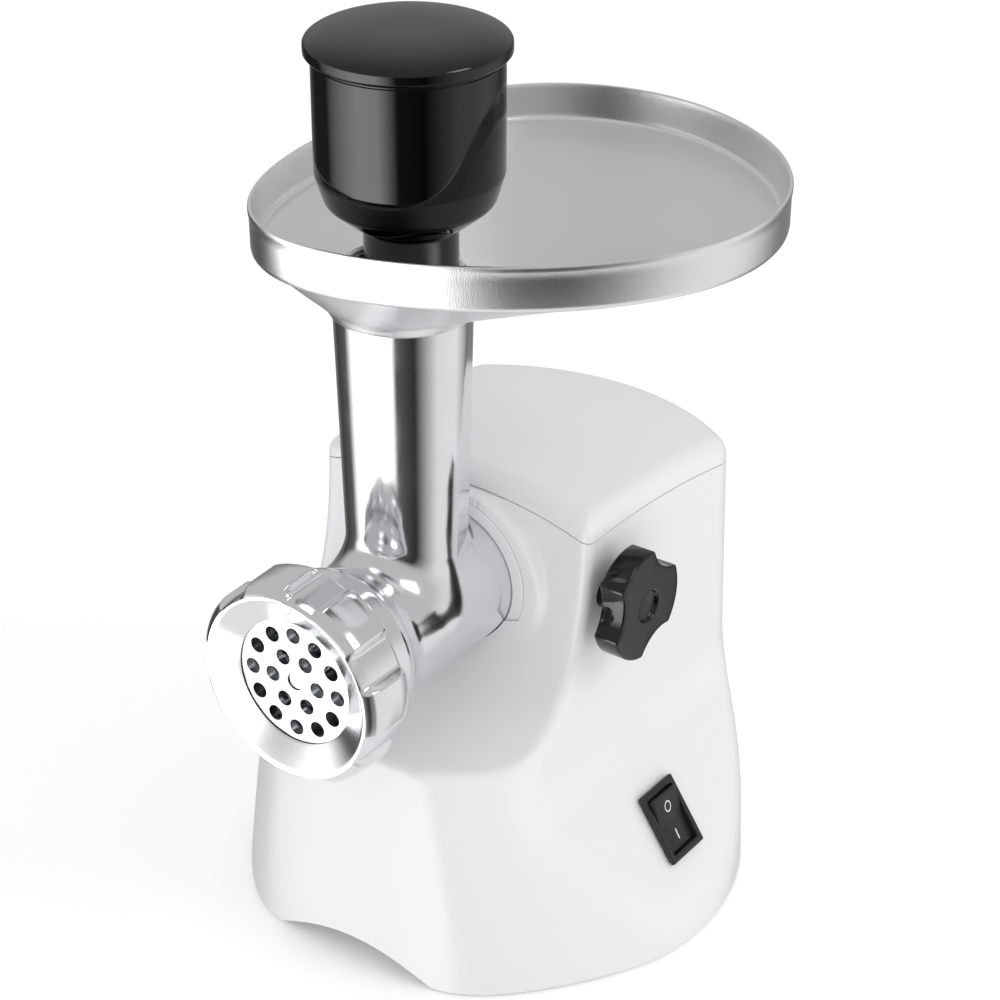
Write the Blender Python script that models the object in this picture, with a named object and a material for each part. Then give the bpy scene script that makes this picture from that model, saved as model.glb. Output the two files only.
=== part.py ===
"""Electric meat grinder with a feed head, tray, pusher, clamp knob, rocker switch and geared motor.

All dimensions are in millimetres and are turned into metres when a mesh is made.
The working origin is the feed tube's axis at table height, +Z up, the outlet facing -Y.
SHIFT then moves everything so that the origin is below the middle of the bounding box.
"""

import math

import bmesh
import bpy
from mathutils import Matrix, Vector

MM = 0.001
SHIFT = (-6.979, -45.336, 0.0)
GAP = 0.3

# housing
DRUM_X = 0.0
DRUM_Y = 60.0
DRUM_R_LOW = 111.0
DRUM_R_HIGH = 104.4
DRUM_TOP = 230.0
SHELL_BOTTOM = 1.0
WALL = 3.0
FRONT_Y = -43.0
FACET_NORMAL = (0.809, -0.588, 0.164)
FACET_OFFSET = 76.7
SIDE_X = 67.0
SLOPE_NORMAL = (0.835, 0.551)
SLOPE_OFFSET = 100.1
SIDE_BLEND_R = 40.0
SWEEP_SIDE = ((-46.0, 103.4), (0.0, 97.0), (29.0, 118.0), (31.0, 186.0))
SWEEP_MIDDLE = ((-46.0, 109.2), (8.0, 102.0), (34.0, 106.0), (38.5, 186.0))
ROOF_R = 450.0
ROOF_Y = 50.0
ROOF_Z = -247.0
SEAM_R = 440.5
ARCH_R = 85.0
ARCH_RISE = 10.0

# barrel line
BARREL_Z = 155.0
BARREL_R = 30.3
BORE_R = 26.2
COLLAR_R = 36.0
BOSS_R = 44.5
BOSS_TOP = 37.2
BARREL_FRONT = -70.5
BARREL_REAR = 55.0
THREAD_R = 35.3
PLATE_R = 30.9
AUGER_R = 25.7
AUGER_CORE_R = 10.5
AUGER_PITCH = 24.0
SCREEN_HOLE_R = 3.4
RING_FRONT = -80.3
RING_REAR = -56.0
RING_R = 40.8
RING_LOBE_R = 43.8
RING_LOBES = 7
RING_TURN = math.radians(53.3)

# feed tube, tray and pusher
TUBE_TOP = 303.0
TUBE_R_TOP = 27.4
TUBE_R_LOW = 24.8
TUBE_BORE_R = 22.5
TRAY_TURN = math.radians(29.08)
TRAY_RIM = 333.8
TRAY_BASE = 314.5
TRAY_FLOOR = 318.5
PUSHER_X = 3.0
PUSHER_Y = 2.0
PUSHER_R = 36.4
PLUG_R = 18.4
PLUG_END = 200.0
CUP_TOP = 395.0
LID_R = 39.1
LID_TOP = 400.6

# clamp knob
KNOB_Y = 44.5
KNOB_Z = 161.3
KNOB_BACK = 76.0
KNOB_FACE = 88.0
KNOB_LOBE_R = 23.5
KNOB_SCALLOP_R = 20.0
KNOB_SCALLOP_AT = 37.8
KNOB_TURN = math.radians(20.0)

# rocker switch, in its own frame on the sloping flank
SWITCH_AT = (89.9, 62.6, 46.4)
BEZEL_W = 24.0
BEZEL_L = 32.5
ROCKER_TILT = math.radians(10.0)

# gear train
MODULE_FAST = 1.25
MODULE_SLOW = 1.6
TEETH_MOTOR = 12
TEETH_WHEEL = 48
TEETH_PINION = 14
TEETH_OUTPUT = 42
MIDDLE_Z = BARREL_Z - MODULE_SLOW * (TEETH_PINION + TEETH_OUTPUT) / 2
MOTOR_Z = MIDDLE_Z - MODULE_FAST * (TEETH_MOTOR + TEETH_WHEEL) / 2
PRESSURE = math.radians(20.0)

PARTS = bpy.data.collections.new("electric_meat_grinder")
TOOLS = bpy.data.collections.new("cutters")
PAINTS = {}


def clear_scene():
    for item in list(bpy.data.objects):
        bpy.data.objects.remove(item, do_unlink=True)
    bpy.context.scene.collection.children.link(PARTS)
    bpy.context.scene.collection.children.link(TOOLS)


def paint(name, colour, metallic, roughness):
    material = bpy.data.materials.new(name)
    material.use_nodes = True
    shader = material.node_tree.nodes["Principled BSDF"]
    shader.inputs["Base Color"].default_value = (*colour, 1.0)
    shader.inputs["Metallic"].default_value = metallic
    shader.inputs["Roughness"].default_value = roughness
    PAINTS[name] = material


def make_paints():
    paint("white_plastic", (0.86, 0.86, 0.87), 0.0, 0.35)
    paint("polished_aluminium", (0.86, 0.87, 0.88), 1.0, 0.16)
    paint("brushed_aluminium", (0.78, 0.79, 0.8), 1.0, 0.3)
    paint("black_gloss", (0.012, 0.012, 0.013), 0.0, 0.08)
    paint("black_switch", (0.03, 0.03, 0.032), 0.0, 0.4)
    paint("dark_rubber", (0.04, 0.04, 0.04), 0.0, 0.8)
    paint("steel", (0.6, 0.6, 0.61), 1.0, 0.3)
    paint("gear_nylon", (0.8, 0.77, 0.68), 0.0, 0.5)
    paint("grey_plastic", (0.35, 0.36, 0.37), 0.0, 0.5)
    paint("copper_winding", (0.55, 0.27, 0.14), 1.0, 0.4)


def finish(name, mesh, origin, material, matrix=None):
    """Turns a bmesh in millimetres into an object in metres whose origin is the given point."""
    if matrix is not None:
        bmesh.ops.transform(mesh, matrix=matrix, verts=mesh.verts)
    bmesh.ops.translate(mesh, vec=-Vector(origin), verts=mesh.verts)
    bmesh.ops.scale(mesh, vec=(MM, MM, MM), verts=mesh.verts)
    bmesh.ops.recalc_face_normals(mesh, faces=mesh.faces)
    data = bpy.data.meshes.new(name)
    mesh.to_mesh(data)
    mesh.free()
    item = bpy.data.objects.new(name, data)
    item.location = (Vector(origin) + Vector(SHIFT)) * MM
    if material is None:
        TOOLS.objects.link(item)
        item.hide_render = True
        item.display_type = "WIRE"
    else:
        PARTS.objects.link(item)
        data.materials.append(PAINTS[material])
    return item


def boolean(target, tool, operation):
    modifier = target.modifiers.new(operation.lower() + "_" + tool.name, "BOOLEAN")
    modifier.object = tool
    modifier.operation = operation
    modifier.solver = "EXACT"


def cut(target, tool):
    boolean(target, tool, "DIFFERENCE")


def join(target, tool):
    boolean(target, tool, "UNION")


def along(axis):
    """The rotation that takes +Z onto the named axis."""
    if axis == "Y":
        return Matrix.Rotation(math.radians(-90.0), 4, "X")
    if axis == "X":
        return Matrix.Rotation(math.radians(90.0), 4, "Y")
    return Matrix.Identity(4)


def turned(name, profile, centre, axis="Z", steps=48, material=None, origin=None):
    """Spins a profile of (radius, distance along the axis) about an axis through centre."""
    mesh = bmesh.new()
    verts = [mesh.verts.new((r, 0.0, h)) for r, h in profile]
    pairs = list(zip(verts, verts[1:]))
    if profile[0][0] > 0.0:
        pairs.append((verts[-1], verts[0]))
    edges = [mesh.edges.new(pair) for pair in pairs]
    bmesh.ops.spin(mesh, geom=verts + edges, cent=(0, 0, 0), axis=(0, 0, 1),
                   dvec=(0, 0, 0), angle=math.tau, steps=steps, use_duplicate=False)
    bmesh.ops.remove_doubles(mesh, verts=mesh.verts, dist=0.0005)
    place = Matrix.Translation(Vector(centre)) @ along(axis)
    return finish(name, mesh, origin or centre, material, place)


def rod(name, radius, low, high, centre, axis="Z", steps=32, material=None, origin=None):
    profile = [(0.0, low), (radius, low), (radius, high), (0.0, high)]
    return turned(name, profile, centre, axis, steps, material, origin)


def outline(name, points, low, high, place, material=None, origin=(0, 0, 0)):
    """Extrudes a closed outline from low to high along its own +Z, then places it."""
    mesh = bmesh.new()
    verts = [mesh.verts.new((x, y, low)) for x, y in points]
    face = mesh.faces.new(verts)
    grown = bmesh.ops.extrude_face_region(mesh, geom=[face])
    moved = [v for v in grown["geom"] if isinstance(v, bmesh.types.BMVert)]
    bmesh.ops.translate(mesh, vec=(0, 0, high - low), verts=moved)
    return finish(name, mesh, origin, material, place)


def block(name, low, high, material=None, origin=None, place=None):
    mesh = bmesh.new()
    bmesh.ops.create_cube(mesh, size=1.0)
    size = Vector(high) - Vector(low)
    middle = (Vector(high) + Vector(low)) / 2
    bmesh.ops.scale(mesh, vec=size, verts=mesh.verts)
    bmesh.ops.translate(mesh, vec=middle, verts=mesh.verts)
    return finish(name, mesh, origin or middle, material, place)


def loft(name, rings, material=None, origin=(0, 0, 0), closed=False):
    """Skins rings of equally many points; closed joins the last ring to the first."""
    mesh = bmesh.new()
    rows = [[mesh.verts.new(point) for point in ring] for ring in rings]
    spans = list(zip(rows, rows[1:]))
    if closed:
        spans.append((rows[-1], rows[0]))
    count = len(rows[0])
    for one, two in spans:
        for i in range(count):
            j = (i + 1) % count
            mesh.faces.new((one[i], one[j], two[j], two[i]))
    if not closed:
        mesh.faces.new(rows[0])
        mesh.faces.new(rows[-1])
    return finish(name, mesh, origin, material)


def half_space(name, normal, distance):
    """A large block on the far side of the plane normal . p = distance."""
    unit = Vector(normal).normalized()
    reach = distance / Vector(normal).length
    mesh = bmesh.new()
    bmesh.ops.create_cube(mesh, size=400.0)
    bmesh.ops.translate(mesh, vec=(0, 0, 200.0), verts=mesh.verts)
    turn = Vector((0, 0, 1)).rotation_difference(unit).to_matrix().to_4x4()
    place = Matrix.Translation(unit * reach) @ turn
    return finish(name, mesh, (0, 0, 0), None, place)


def bezier(points, t):
    p0, p1, p2, p3 = [Vector(p) for p in points]
    s = 1.0 - t
    return s ** 3 * p0 + 3 * s * s * t * p1 + 3 * s * t * t * p2 + t ** 3 * p3


def flank_cutter(name, side, inset):
    """What lies outside the upright wall, its concave blend and the sloping flank."""
    blend_x = SIDE_X + SIDE_BLEND_R
    fall = math.atan2(SLOPE_NORMAL[1], SLOPE_NORMAL[0])
    meet = (SLOPE_OFFSET - SLOPE_NORMAL[0] * SIDE_X) / SLOPE_NORMAL[1]
    blend_z = meet + SIDE_BLEND_R * math.tan(fall / 2)
    radius = SIDE_BLEND_R + inset
    points = [(blend_x - radius, 300.0)]
    for k in range(7):
        angle = math.pi + fall * k / 6
        points.append((blend_x + radius * math.cos(angle), blend_z + radius * math.sin(angle)))
    low = -30.0
    points.append(((SLOPE_OFFSET - inset - SLOPE_NORMAL[1] * low) / SLOPE_NORMAL[0], low))
    points.append((220.0, low))
    points.append((220.0, 300.0))
    points = [(side * x, -z) for x, z in points]
    return outline(name, points, -80.0, 260.0, along("Y"))


def sweep_cutter(name, inset):
    """What lies above the concave sweep from the nose up to the front of the roof."""
    stations = [-95.0, -67.0, -56.0, -44.0, -30.0, -15.0, 0.0, 15.0, 30.0, 44.0, 56.0, 67.0, 95.0]
    rings = []
    for x in stations:
        weight = max(0.0, 1.0 - (x / SIDE_X) ** 2)
        corners = [
            Vector(a) * (1.0 - weight) + Vector(b) * weight
            for a, b in zip(SWEEP_SIDE, SWEEP_MIDDLE)
        ]
        ring = []
        for k in range(11):
            y, z = bezier(corners, k / 10)
            ring.append((x, y + inset, z - inset))
        ring.insert(0, (x, -90.0, ring[0][2] - 1.0))
        ring.append((x, ring[-1][1] + 3.0, 260.0))
        ring.append((x, -90.0, 260.0))
        rings.append(ring)
    return loft(name, rings)


def dome_cutter(name, radius):
    """What lies above a shallow dome."""
    profile = []
    for k in range(8):
        reach = 175.0 * k / 7
        profile.append((reach, math.sqrt(radius ** 2 - reach ** 2) + ROOF_Z))
    profile.append((175.0, 330.0))
    profile.append((0.0, 330.0))
    return turned(name, profile, (0, ROOF_Y, 0), "Z", 40)


def body_form(name, inset, bottom, top, material=None):
    """The outer form of the machine, shrunk by inset, up to a dome of radius top."""
    slope = (DRUM_R_HIGH - DRUM_R_LOW) / DRUM_TOP
    low = DRUM_R_LOW - inset + slope * bottom
    high = DRUM_R_HIGH - inset
    profile = [(0.0, bottom), (low, bottom), (high, DRUM_TOP), (0.0, DRUM_TOP)]
    form = turned(name, profile, (DRUM_X, DRUM_Y, 0), "Z", 72, material, (0, 0, 0))
    cut(form, half_space(name + "_front", (0, -1, 0), -FRONT_Y - inset))
    for side, label in ((1, "right"), (-1, "left")):
        normal = (side * FACET_NORMAL[0], FACET_NORMAL[1], FACET_NORMAL[2])
        distance = FACET_OFFSET - inset * Vector(FACET_NORMAL).length
        cut(form, half_space(name + "_facet_" + label, normal, distance))
        cut(form, flank_cutter(name + "_flank_" + label, side, inset))
    cut(form, sweep_cutter(name + "_sweep", inset))
    cut(form, dome_cutter(name + "_dome", top))
    return form


def boss_ring(radius, y):
    """Round below the barrel's axis, flattened above it so that it ends below the seam."""
    points = []
    for k in range(48):
        angle = math.tau * (k + 0.5) / 48
        rise = radius * math.sin(angle)
        if rise > 0.0:
            rise = rise * BOSS_TOP / BOSS_R
        points.append((radius * math.cos(angle), y, BARREL_Z + rise))
    return points


def outlet_boss(name):
    rings = [boss_ring(40.5, 30.8), boss_ring(43.5, 32.3), boss_ring(BOSS_R, 35.2), boss_ring(BOSS_R, 44.0)]
    return loft(name, rings)


def switch_frame():
    """The rocker switch's own frame: X along the flank, Y down the slope, Z out of it."""
    out = Vector((SLOPE_NORMAL[0], 0, SLOPE_NORMAL[1])).normalized()
    down = Vector((out.z, 0, -out.x))
    side = down.cross(out)
    turn = Matrix((side, down, out)).transposed().to_4x4()
    return Matrix.Translation(Vector(SWITCH_AT)) @ turn


def make_housing():
    shell = body_form("housing_shell", 0.0, SHELL_BOTTOM, SEAM_R - GAP / 2, "white_plastic")
    cut(shell, body_form("housing_hollow", WALL, -20.0, 470.0))
    join(shell, outlet_boss("outlet_boss"))
    cut(shell, rod("outlet_hole", COLLAR_R + GAP, 12.0, 62.0, (0, 0, BARREL_Z), "Y", 48))
    cut(shell, rod("plunger_hole", 6.6, 50.0, 80.0, (0, KNOB_Y, KNOB_Z), "X", 24))
    cut(shell, rod("plunger_way", 4.4, 30.0, 60.0, (0, KNOB_Y, KNOB_Z), "X", 20))
    arch_z = ARCH_RISE + SHELL_BOTTOM - ARCH_R
    cut(shell, rod("front_arch", ARCH_R, -60.0, -30.0, (0, 0, arch_z), "Y", 96))
    frame = switch_frame()
    cut(shell, block("switch_opening", (-11.0, -15.2, -30.0), (11.0, 15.2, 20.0), None, (0, 0, 0), frame))


def make_cover():
    cover = body_form("top_cover", 0.0, SHELL_BOTTOM, ROOF_R, "white_plastic")
    below = [(0.0, -50.0), (175.0, -50.0)]
    radius = SEAM_R + GAP / 2
    for k in range(8):
        reach = 175.0 * (7 - k) / 7
        below.append((reach, math.sqrt(radius ** 2 - reach ** 2) + ROOF_Z))
    cut(cover, turned("below_seam", below, (0, ROOF_Y, 0), "Z", 40))
    cut(cover, body_form("cover_hollow", WALL, 60.0, ROOF_R - WALL))


def make_base():
    plate = body_form("base_plate", WALL + GAP, 12.0, ROOF_R, "grey_plastic")
    cut(plate, block("above_base", (-200, -200, 15.0), (200, 300, 400)))
    spots = {
        "front_left": (-48, -12), "front_right": (48, -12),
        "rear_left": (-70, 110), "rear_right": (70, 110),
    }
    for label, (x, y) in spots.items():
        foot = [(2.4, 4.0), (5.4, 4.0), (5.4, 0.0), (9.0, 0.0), (10.6, 1.5), (11.0, 11.7), (2.4, 11.7)]
        turned("foot_" + label, foot, (x, y, 0), "Z", 14, "dark_rubber")
        cut(plate, rod("base_bore_" + label, 1.8, 8.0, 20.0, (x, y, 0), "Z", 12))
        screw = [(0.0, 1.8), (4.2, 1.8), (4.2, 3.7), (1.5, 3.7), (1.5, 22.0), (0.0, 22.0)]
        turned("foot_screw_" + label, screw, (x, y, 0), "Z", 12, "steel")


def make_collar():
    profile = [
        (30.42, 30.0), (35.0, 30.0), (COLLAR_R, 31.2), (COLLAR_R, 55.7), (30.42, 55.7),
    ]
    collar = turned("outlet_collar", profile, (0, 0, BARREL_Z), "Y", 48, "white_plastic")
    cut(collar, rod("collar_plunger_hole", 4.1, 20.0, 60.0, (0, KNOB_Y, KNOB_Z), "X", 20))


def capsule(radius, low, high, steps):
    points = []
    for k in range(steps + 1):
        angle = math.pi * k / steps
        points.append((radius * math.cos(angle), high + radius * math.sin(angle)))
    for k in range(steps + 1):
        angle = math.pi + math.pi * k / steps
        points.append((radius * math.cos(angle), low + radius * math.sin(angle)))
    return [(x, -z) for x, z in points]


def make_gearbox():
    shape = capsule(39.0, 97.0, BARREL_Z, 10)
    case = outline("gearbox_case", shape, 56.0, 92.0, along("Y"), "grey_plastic")
    cut(case, outline("gearbox_hollow", capsule(36.4, 97.0, BARREL_Z, 10), 60.0, 100.0, along("Y")))
    cut(case, rod("case_output_bore", 12.08, 50.0, 70.0, (0, 0, BARREL_Z), "Y", 32))
    cut(case, rod("case_middle_bore", 4.06, 50.0, 70.0, (0, 0, MIDDLE_Z), "Y", 32))
    cover = outline("gearbox_cover", shape, 92.3, 95.3, along("Y"), "grey_plastic")
    cut(cover, rod("cover_output_bore", 8.06, 85.0, 100.0, (0, 0, BARREL_Z), "Y", 32))
    cut(cover, rod("cover_middle_bore", 4.06, 85.0, 100.0, (0, 0, MIDDLE_Z), "Y", 32))
    cut(cover, rod("cover_motor_bore", 9.6, 85.0, 100.0, (0, 0, MOTOR_Z), "Y", 32))


def tooth_half_angle(radius, teeth, module, play):
    pitch_r = module * teeth / 2
    base_r = pitch_r * math.cos(PRESSURE)
    spread = math.pi / (2 * teeth) - play / pitch_r + math.tan(PRESSURE) - PRESSURE
    if radius <= base_r:
        return spread
    angle = math.acos(base_r / radius)
    return spread - (math.tan(angle) - angle)


def gear_outline(teeth, module, first, reach, play):
    """Involute teeth; first is the angle of one tooth's middle, reach its height in modules."""
    pitch_r = module * teeth / 2
    tip = pitch_r + reach * module
    root = pitch_r - 1.3 * module
    base = max(root + 0.2, pitch_r * math.cos(PRESSURE))
    middle = pitch_r + 0.1 * module
    heights = [root, base, middle, tip] if teeth < 20 else [root, pitch_r, tip]
    points = []
    for k in range(teeth):
        centre = first + math.tau * k / teeth
        flank = [(radius, -1) for radius in heights] + [(radius, 1) for radius in reversed(heights)]
        for radius, side in flank:
            angle = centre + side * tooth_half_angle(radius, teeth, module, play)
            points.append((radius * math.cos(angle), radius * math.sin(angle)))
    return points


def make_gear(name, teeth, module, first, z, low, high, bore, reach, material):
    place = Matrix.Translation((0, 0, z)) @ along("Y")
    points = [(x, -y) for x, y in gear_outline(teeth, module, first, reach, 0.12 * module)]
    gear = outline(name, points, low, high, place, material, (0, 0, z))
    cut(gear, rod(name + "_bore", bore, low - 5.0, high + 5.0, (0, 0, z), "Y", 32))
    return gear


def make_drive():
    down = math.radians(-90.0)
    up = math.radians(90.0)
    make_gear("output_gear", TEETH_OUTPUT, MODULE_SLOW, down + math.pi / TEETH_OUTPUT,
              BARREL_Z, 78.3, 90.0, 8.05, 0.85, "gear_nylon")
    make_gear("intermediate_wheel", TEETH_WHEEL, MODULE_FAST, down + math.pi / TEETH_WHEEL,
              MIDDLE_Z, 63.0, 71.0, 4.05, 0.85, "gear_nylon")
    make_gear("intermediate_pinion", TEETH_PINION, MODULE_SLOW, up, MIDDLE_Z, 76.0, 91.0, 4.05, 0.9, "steel")
    make_gear("motor_pinion", TEETH_MOTOR, MODULE_FAST, up, MOTOR_Z, 62.0, 73.0, 2.55, 0.9, "steel")
    shaft = [(0.0, 56.4), (12.0, 56.4), (12.0, 78.0), (8.0, 78.0), (8.0, 99.0), (0.0, 99.0)]
    output = turned("output_shaft", shaft, (0, 0, BARREL_Z), "Y", 32, "steel")
    cut(output, rod("drive_socket", 7.6, 50.0, 71.0, (0, 0, BARREL_Z), "Y", 6))
    rod("intermediate_shaft", 4.0, 56.6, 95.0, (0, 0, MIDDLE_Z), "Y", 32, "steel")
    rod("motor_shaft", 2.5, 61.0, 161.0, (0, 0, MOTOR_Z), "Y", 24, "steel")


def make_motor():
    can = [(9.5, 95.6), (36.0, 95.6), (36.0, 148.0), (33.5, 148.0), (33.5, 98.0), (9.5, 98.0)]
    turned("motor_can", can, (0, 0, MOTOR_Z), "Y", 40, "steel")
    yoke = [(22.6, 104.0), (33.2, 104.0), (33.2, 138.0), (22.6, 138.0)]
    turned("motor_field", yoke, (0, 0, MOTOR_Z), "Y", 32, "copper_winding")
    core = [
        (2.6, 100.5), (9.0, 100.5), (9.0, 106.0), (22.0, 106.0),
        (22.0, 136.0), (9.0, 136.0), (9.0, 141.0), (2.6, 141.0),
    ]
    armature = turned("motor_armature", core, (0, 0, MOTOR_Z), "Y", 24, "copper_winding")
    for k in range(3):
        angle = math.tau * (k + 0.5) / 3
        x = 21.5 * math.cos(angle)
        z = MOTOR_Z + 21.5 * math.sin(angle)
        cut(armature, rod("armature_slot_%d" % k, 2.6, 100.0, 145.0, (x, 0, z), "Y", 8))
    hub = [
        (2.6, 152.0), (7.0, 152.0), (7.0, 153.0), (30.0, 153.0),
        (30.0, 154.5), (7.0, 154.5), (7.0, 160.0), (2.6, 160.0),
    ]
    fan = turned("motor_fan", hub, (0, 0, MOTOR_Z), "Y", 24, "grey_plastic")
    for k in range(6):
        turn = Matrix.Rotation(math.tau * (k + 0.5) / 6, 4, "Y")
        place = Matrix.Translation((0, 0, MOTOR_Z)) @ turn
        low = (6.5, 153.5, -0.8)
        blade = block("fan_blade_%d" % k, low, (29.0, 160.0, 0.8), None, (0, 0, MOTOR_Z), place)
        join(fan, blade)
    back = [(8.0, 148.3), (36.0, 148.3), (36.0, 150.3), (8.0, 150.3)]
    bridge = turned("motor_end_bridge", back, (0, 0, MOTOR_Z), "Y", 32, "steel")
    for side, label in ((1, "right"), (-1, "left")):
        cut(bridge, rod("bridge_window_" + label, 10.0, 140.0, 160.0, (side * 21.0, 0, MOTOR_Z), "Y", 20))
    cradle = block("motor_cradle", (-26.0, 104.0, 15.3), (26.0, 140.0, 52.0), "grey_plastic")
    cut(cradle, rod("cradle_saddle", 36.3, 90.0, 160.0, (0, 0, MOTOR_Z), "Y", 48))


def make_head():
    outside = [
        (0.0, BARREL_FRONT), (THREAD_R, BARREL_FRONT), (THREAD_R, -43.0), (34.0, -40.0),
        (BARREL_R, -33.0), (BARREL_R, BARREL_REAR), (0.0, BARREL_REAR),
    ]
    head = turned("head_casting", outside, (0, 0, BARREL_Z), "Y", 36, "polished_aluminium")
    tube = [(0.0, 158.0), (26.0, 158.0), (26.6, 177.0), (TUBE_R_LOW, 190.0),
            (TUBE_R_TOP, 288.0), (TUBE_R_TOP, TUBE_TOP), (0.0, TUBE_TOP)]
    join(head, turned("tube_outside", tube, (0, 0, 0), "Z", 36))
    cut(head, rod("tube_bore", TUBE_BORE_R, BARREL_Z, 320.0, (0, 0, 0), "Z", 32))
    inside = [
        (0.0, -90.0), (31.1, -90.0), (31.1, -62.5), (BORE_R, -60.0),
        (BORE_R, 48.0), (9.1, 48.0), (9.1, 70.0), (0.0, 70.0),
    ]
    cut(head, turned("barrel_bore", inside, (0, 0, BARREL_Z), "Y", 36))
    bush = [(8.06, 44.0), (13.0, 44.0), (13.0, 47.7), (9.0, 47.7), (9.0, 54.5), (8.06, 54.5)]
    turned("auger_bush", bush, (0, 0, BARREL_Z), "Y", 28, "gear_nylon")


def make_auger():
    count = 18
    turns = (42.0 - -60.0) / AUGER_PITCH
    slices = 38
    rings = []
    for n in range(slices + 1):
        y = -60.0 + 102.0 * n / slices
        phase = math.tau * turns * n / slices
        ring = []
        for k in range(count):
            angle = math.tau * k / count
            lobe = min(abs(angle - math.pi) / 0.75, 1.0)
            radius = AUGER_R + (AUGER_CORE_R - AUGER_R) * lobe ** 0.8
            if lobe < 0.35:
                radius = AUGER_R
            ring.append((radius * math.cos(angle + phase), y, BARREL_Z + radius * math.sin(angle + phase)))
        rings.append(ring)
    auger = loft("auger", rings, "polished_aluminium", (0, 0, BARREL_Z))
    join(auger, rod("auger_journal", 8.0, 38.0, 55.6, (0, 0, BARREL_Z), "Y", 32))
    join(auger, rod("auger_tail", 7.3, 52.0, 69.0, (0, 0, BARREL_Z), "Y", 6))
    join(auger, rod("auger_nose", 6.0, -69.0, -55.0, (0, 0, BARREL_Z), "Y", 4))
    join(auger, rod("auger_pin", 3.5, -73.2, -60.0, (0, 0, BARREL_Z), "Y", 20))
    hub = rod("knife", 11.0, -69.2, -61.5, (0, 0, BARREL_Z), "Y", 32, "steel")
    for k in range(4):
        turn = Matrix.Rotation(math.tau * k / 4, 4, "Y")
        place = Matrix.Translation((0, 0, BARREL_Z)) @ turn
        points = [(6.0, -3.2), (29.0, -4.6), (29.0, 0.4), (6.0, 4.0)]
        blade = outline("knife_blade_%d" % k, points, -69.2, -65.2, place @ along("Y"))
        join(hub, blade)
    cut(hub, rod("knife_square", 6.3, -75.0, -55.0, (0, 0, BARREL_Z), "Y", 4))


def make_screen():
    plate = rod("screen_plate", PLATE_R, -74.0, -69.5, (0, 0, BARREL_Z), "Y", 48, "steel")
    cut(plate, rod("screen_centre", 3.75, -80.0, -60.0, (0, 0, BARREL_Z), "Y", 16))
    rows = [(11.0, 6), (21.0, 12)]
    for reach, count in rows:
        for k in range(count):
            angle = math.tau * k / count
            x = reach * math.cos(angle)
            z = BARREL_Z + reach * math.sin(angle)
            name = "screen_hole_%d_%d" % (count, k)
            cut(plate, rod(name, SCREEN_HOLE_R, -80.0, -60.0, (x, 0, z), "Y", 6))


def make_ring():
    points = []
    for k in range(84):
        angle = math.tau * k / 84
        wave = math.cos(RING_LOBES * (angle + RING_TURN))
        swell = max(0.0, min(1.0, 0.9 + 1.4 * wave))
        radius = RING_R + (RING_LOBE_R - RING_R) * swell
        points.append((radius * math.cos(angle), radius * math.sin(angle)))
    place = Matrix.Translation((0, 0, BARREL_Z)) @ along("Y")
    ring = outline("screw_ring", points, -76.8, RING_REAR, place, "polished_aluminium", (0, 0, BARREL_Z))
    nose = [(0.0, RING_FRONT), (39.2, RING_FRONT), (41.2, -78.5), (41.2, -70.0), (0.0, -70.0)]
    join(ring, turned("ring_nose", nose, (0, 0, BARREL_Z), "Y", 40))
    inside = [
        (0.0, -95.0), (37.2, -95.0), (37.2, RING_FRONT + 0.4), (28.6, -75.5), (27.0, -74.3), (31.4, -74.3),
        (31.4, -71.0), (35.6, -70.8), (35.6, -40.0), (0.0, -40.0),
    ]
    cut(ring, turned("ring_bore", inside, (0, 0, BARREL_Z), "Y", 40))


def tray_ring(inset, z, count=44):
    """The tray's egg-shaped outline, shrunk by inset along its normals."""
    points = []
    for k in range(count):
        t = math.tau * k / count
        x = 89.6 * math.cos(t) * (1 + 0.2035 * math.sin(t))
        y = 48.25 + 107.0 * math.sin(t)
        dx = 89.6 * (-math.sin(t) * (1 + 0.2035 * math.sin(t)) + 0.2035 * math.cos(t) ** 2)
        dy = 107.0 * math.cos(t)
        length = math.hypot(dx, dy)
        x = x - inset * dy / length
        y = y + inset * dx / length
        c = math.cos(TRAY_TURN)
        s = math.sin(TRAY_TURN)
        points.append((x * c + y * s, -x * s + y * c, z))
    return points


def round_ring(radius, z):
    """A circle about the tube whose points face those of the tray's outline."""
    points = []
    for x, y, _ in tray_ring(0.0, 0.0):
        length = math.hypot(x, y)
        points.append((radius * x / length, radius * y / length, z))
    return points


def blend_ring(share, radius, inset, z):
    pairs = zip(tray_ring(inset, z), round_ring(radius, z))
    return [(a[0] * share + b[0] * (1 - share), a[1] * share + b[1] * (1 - share), z) for a, b in pairs]


def make_tray():
    rings = [
        tray_ring(0.0, TRAY_RIM),
        tray_ring(0.5, TRAY_BASE + 1.6),
        tray_ring(3.2, TRAY_BASE),
        blend_ring(0.5, 31.0, 3.2, TRAY_BASE - 11.5),
        round_ring(30.8, 292.5),
        round_ring(29.0, 288.0),
        round_ring(27.65, 288.0),
        round_ring(27.65, TUBE_TOP + GAP),
        round_ring(23.6, TUBE_TOP + GAP),
        round_ring(24.4, 305.0),
        blend_ring(0.5, 26.0, 6.0, TRAY_BASE - 4.5),
        tray_ring(6.0, TRAY_FLOOR),
        tray_ring(3.4, TRAY_FLOOR + 1.2),
        tray_ring(2.4, TRAY_FLOOR + 4.0),
        tray_ring(1.8, TRAY_RIM),
    ]
    loft("tray", rings, "brushed_aluminium", (0, 0, 0), True)


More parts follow.
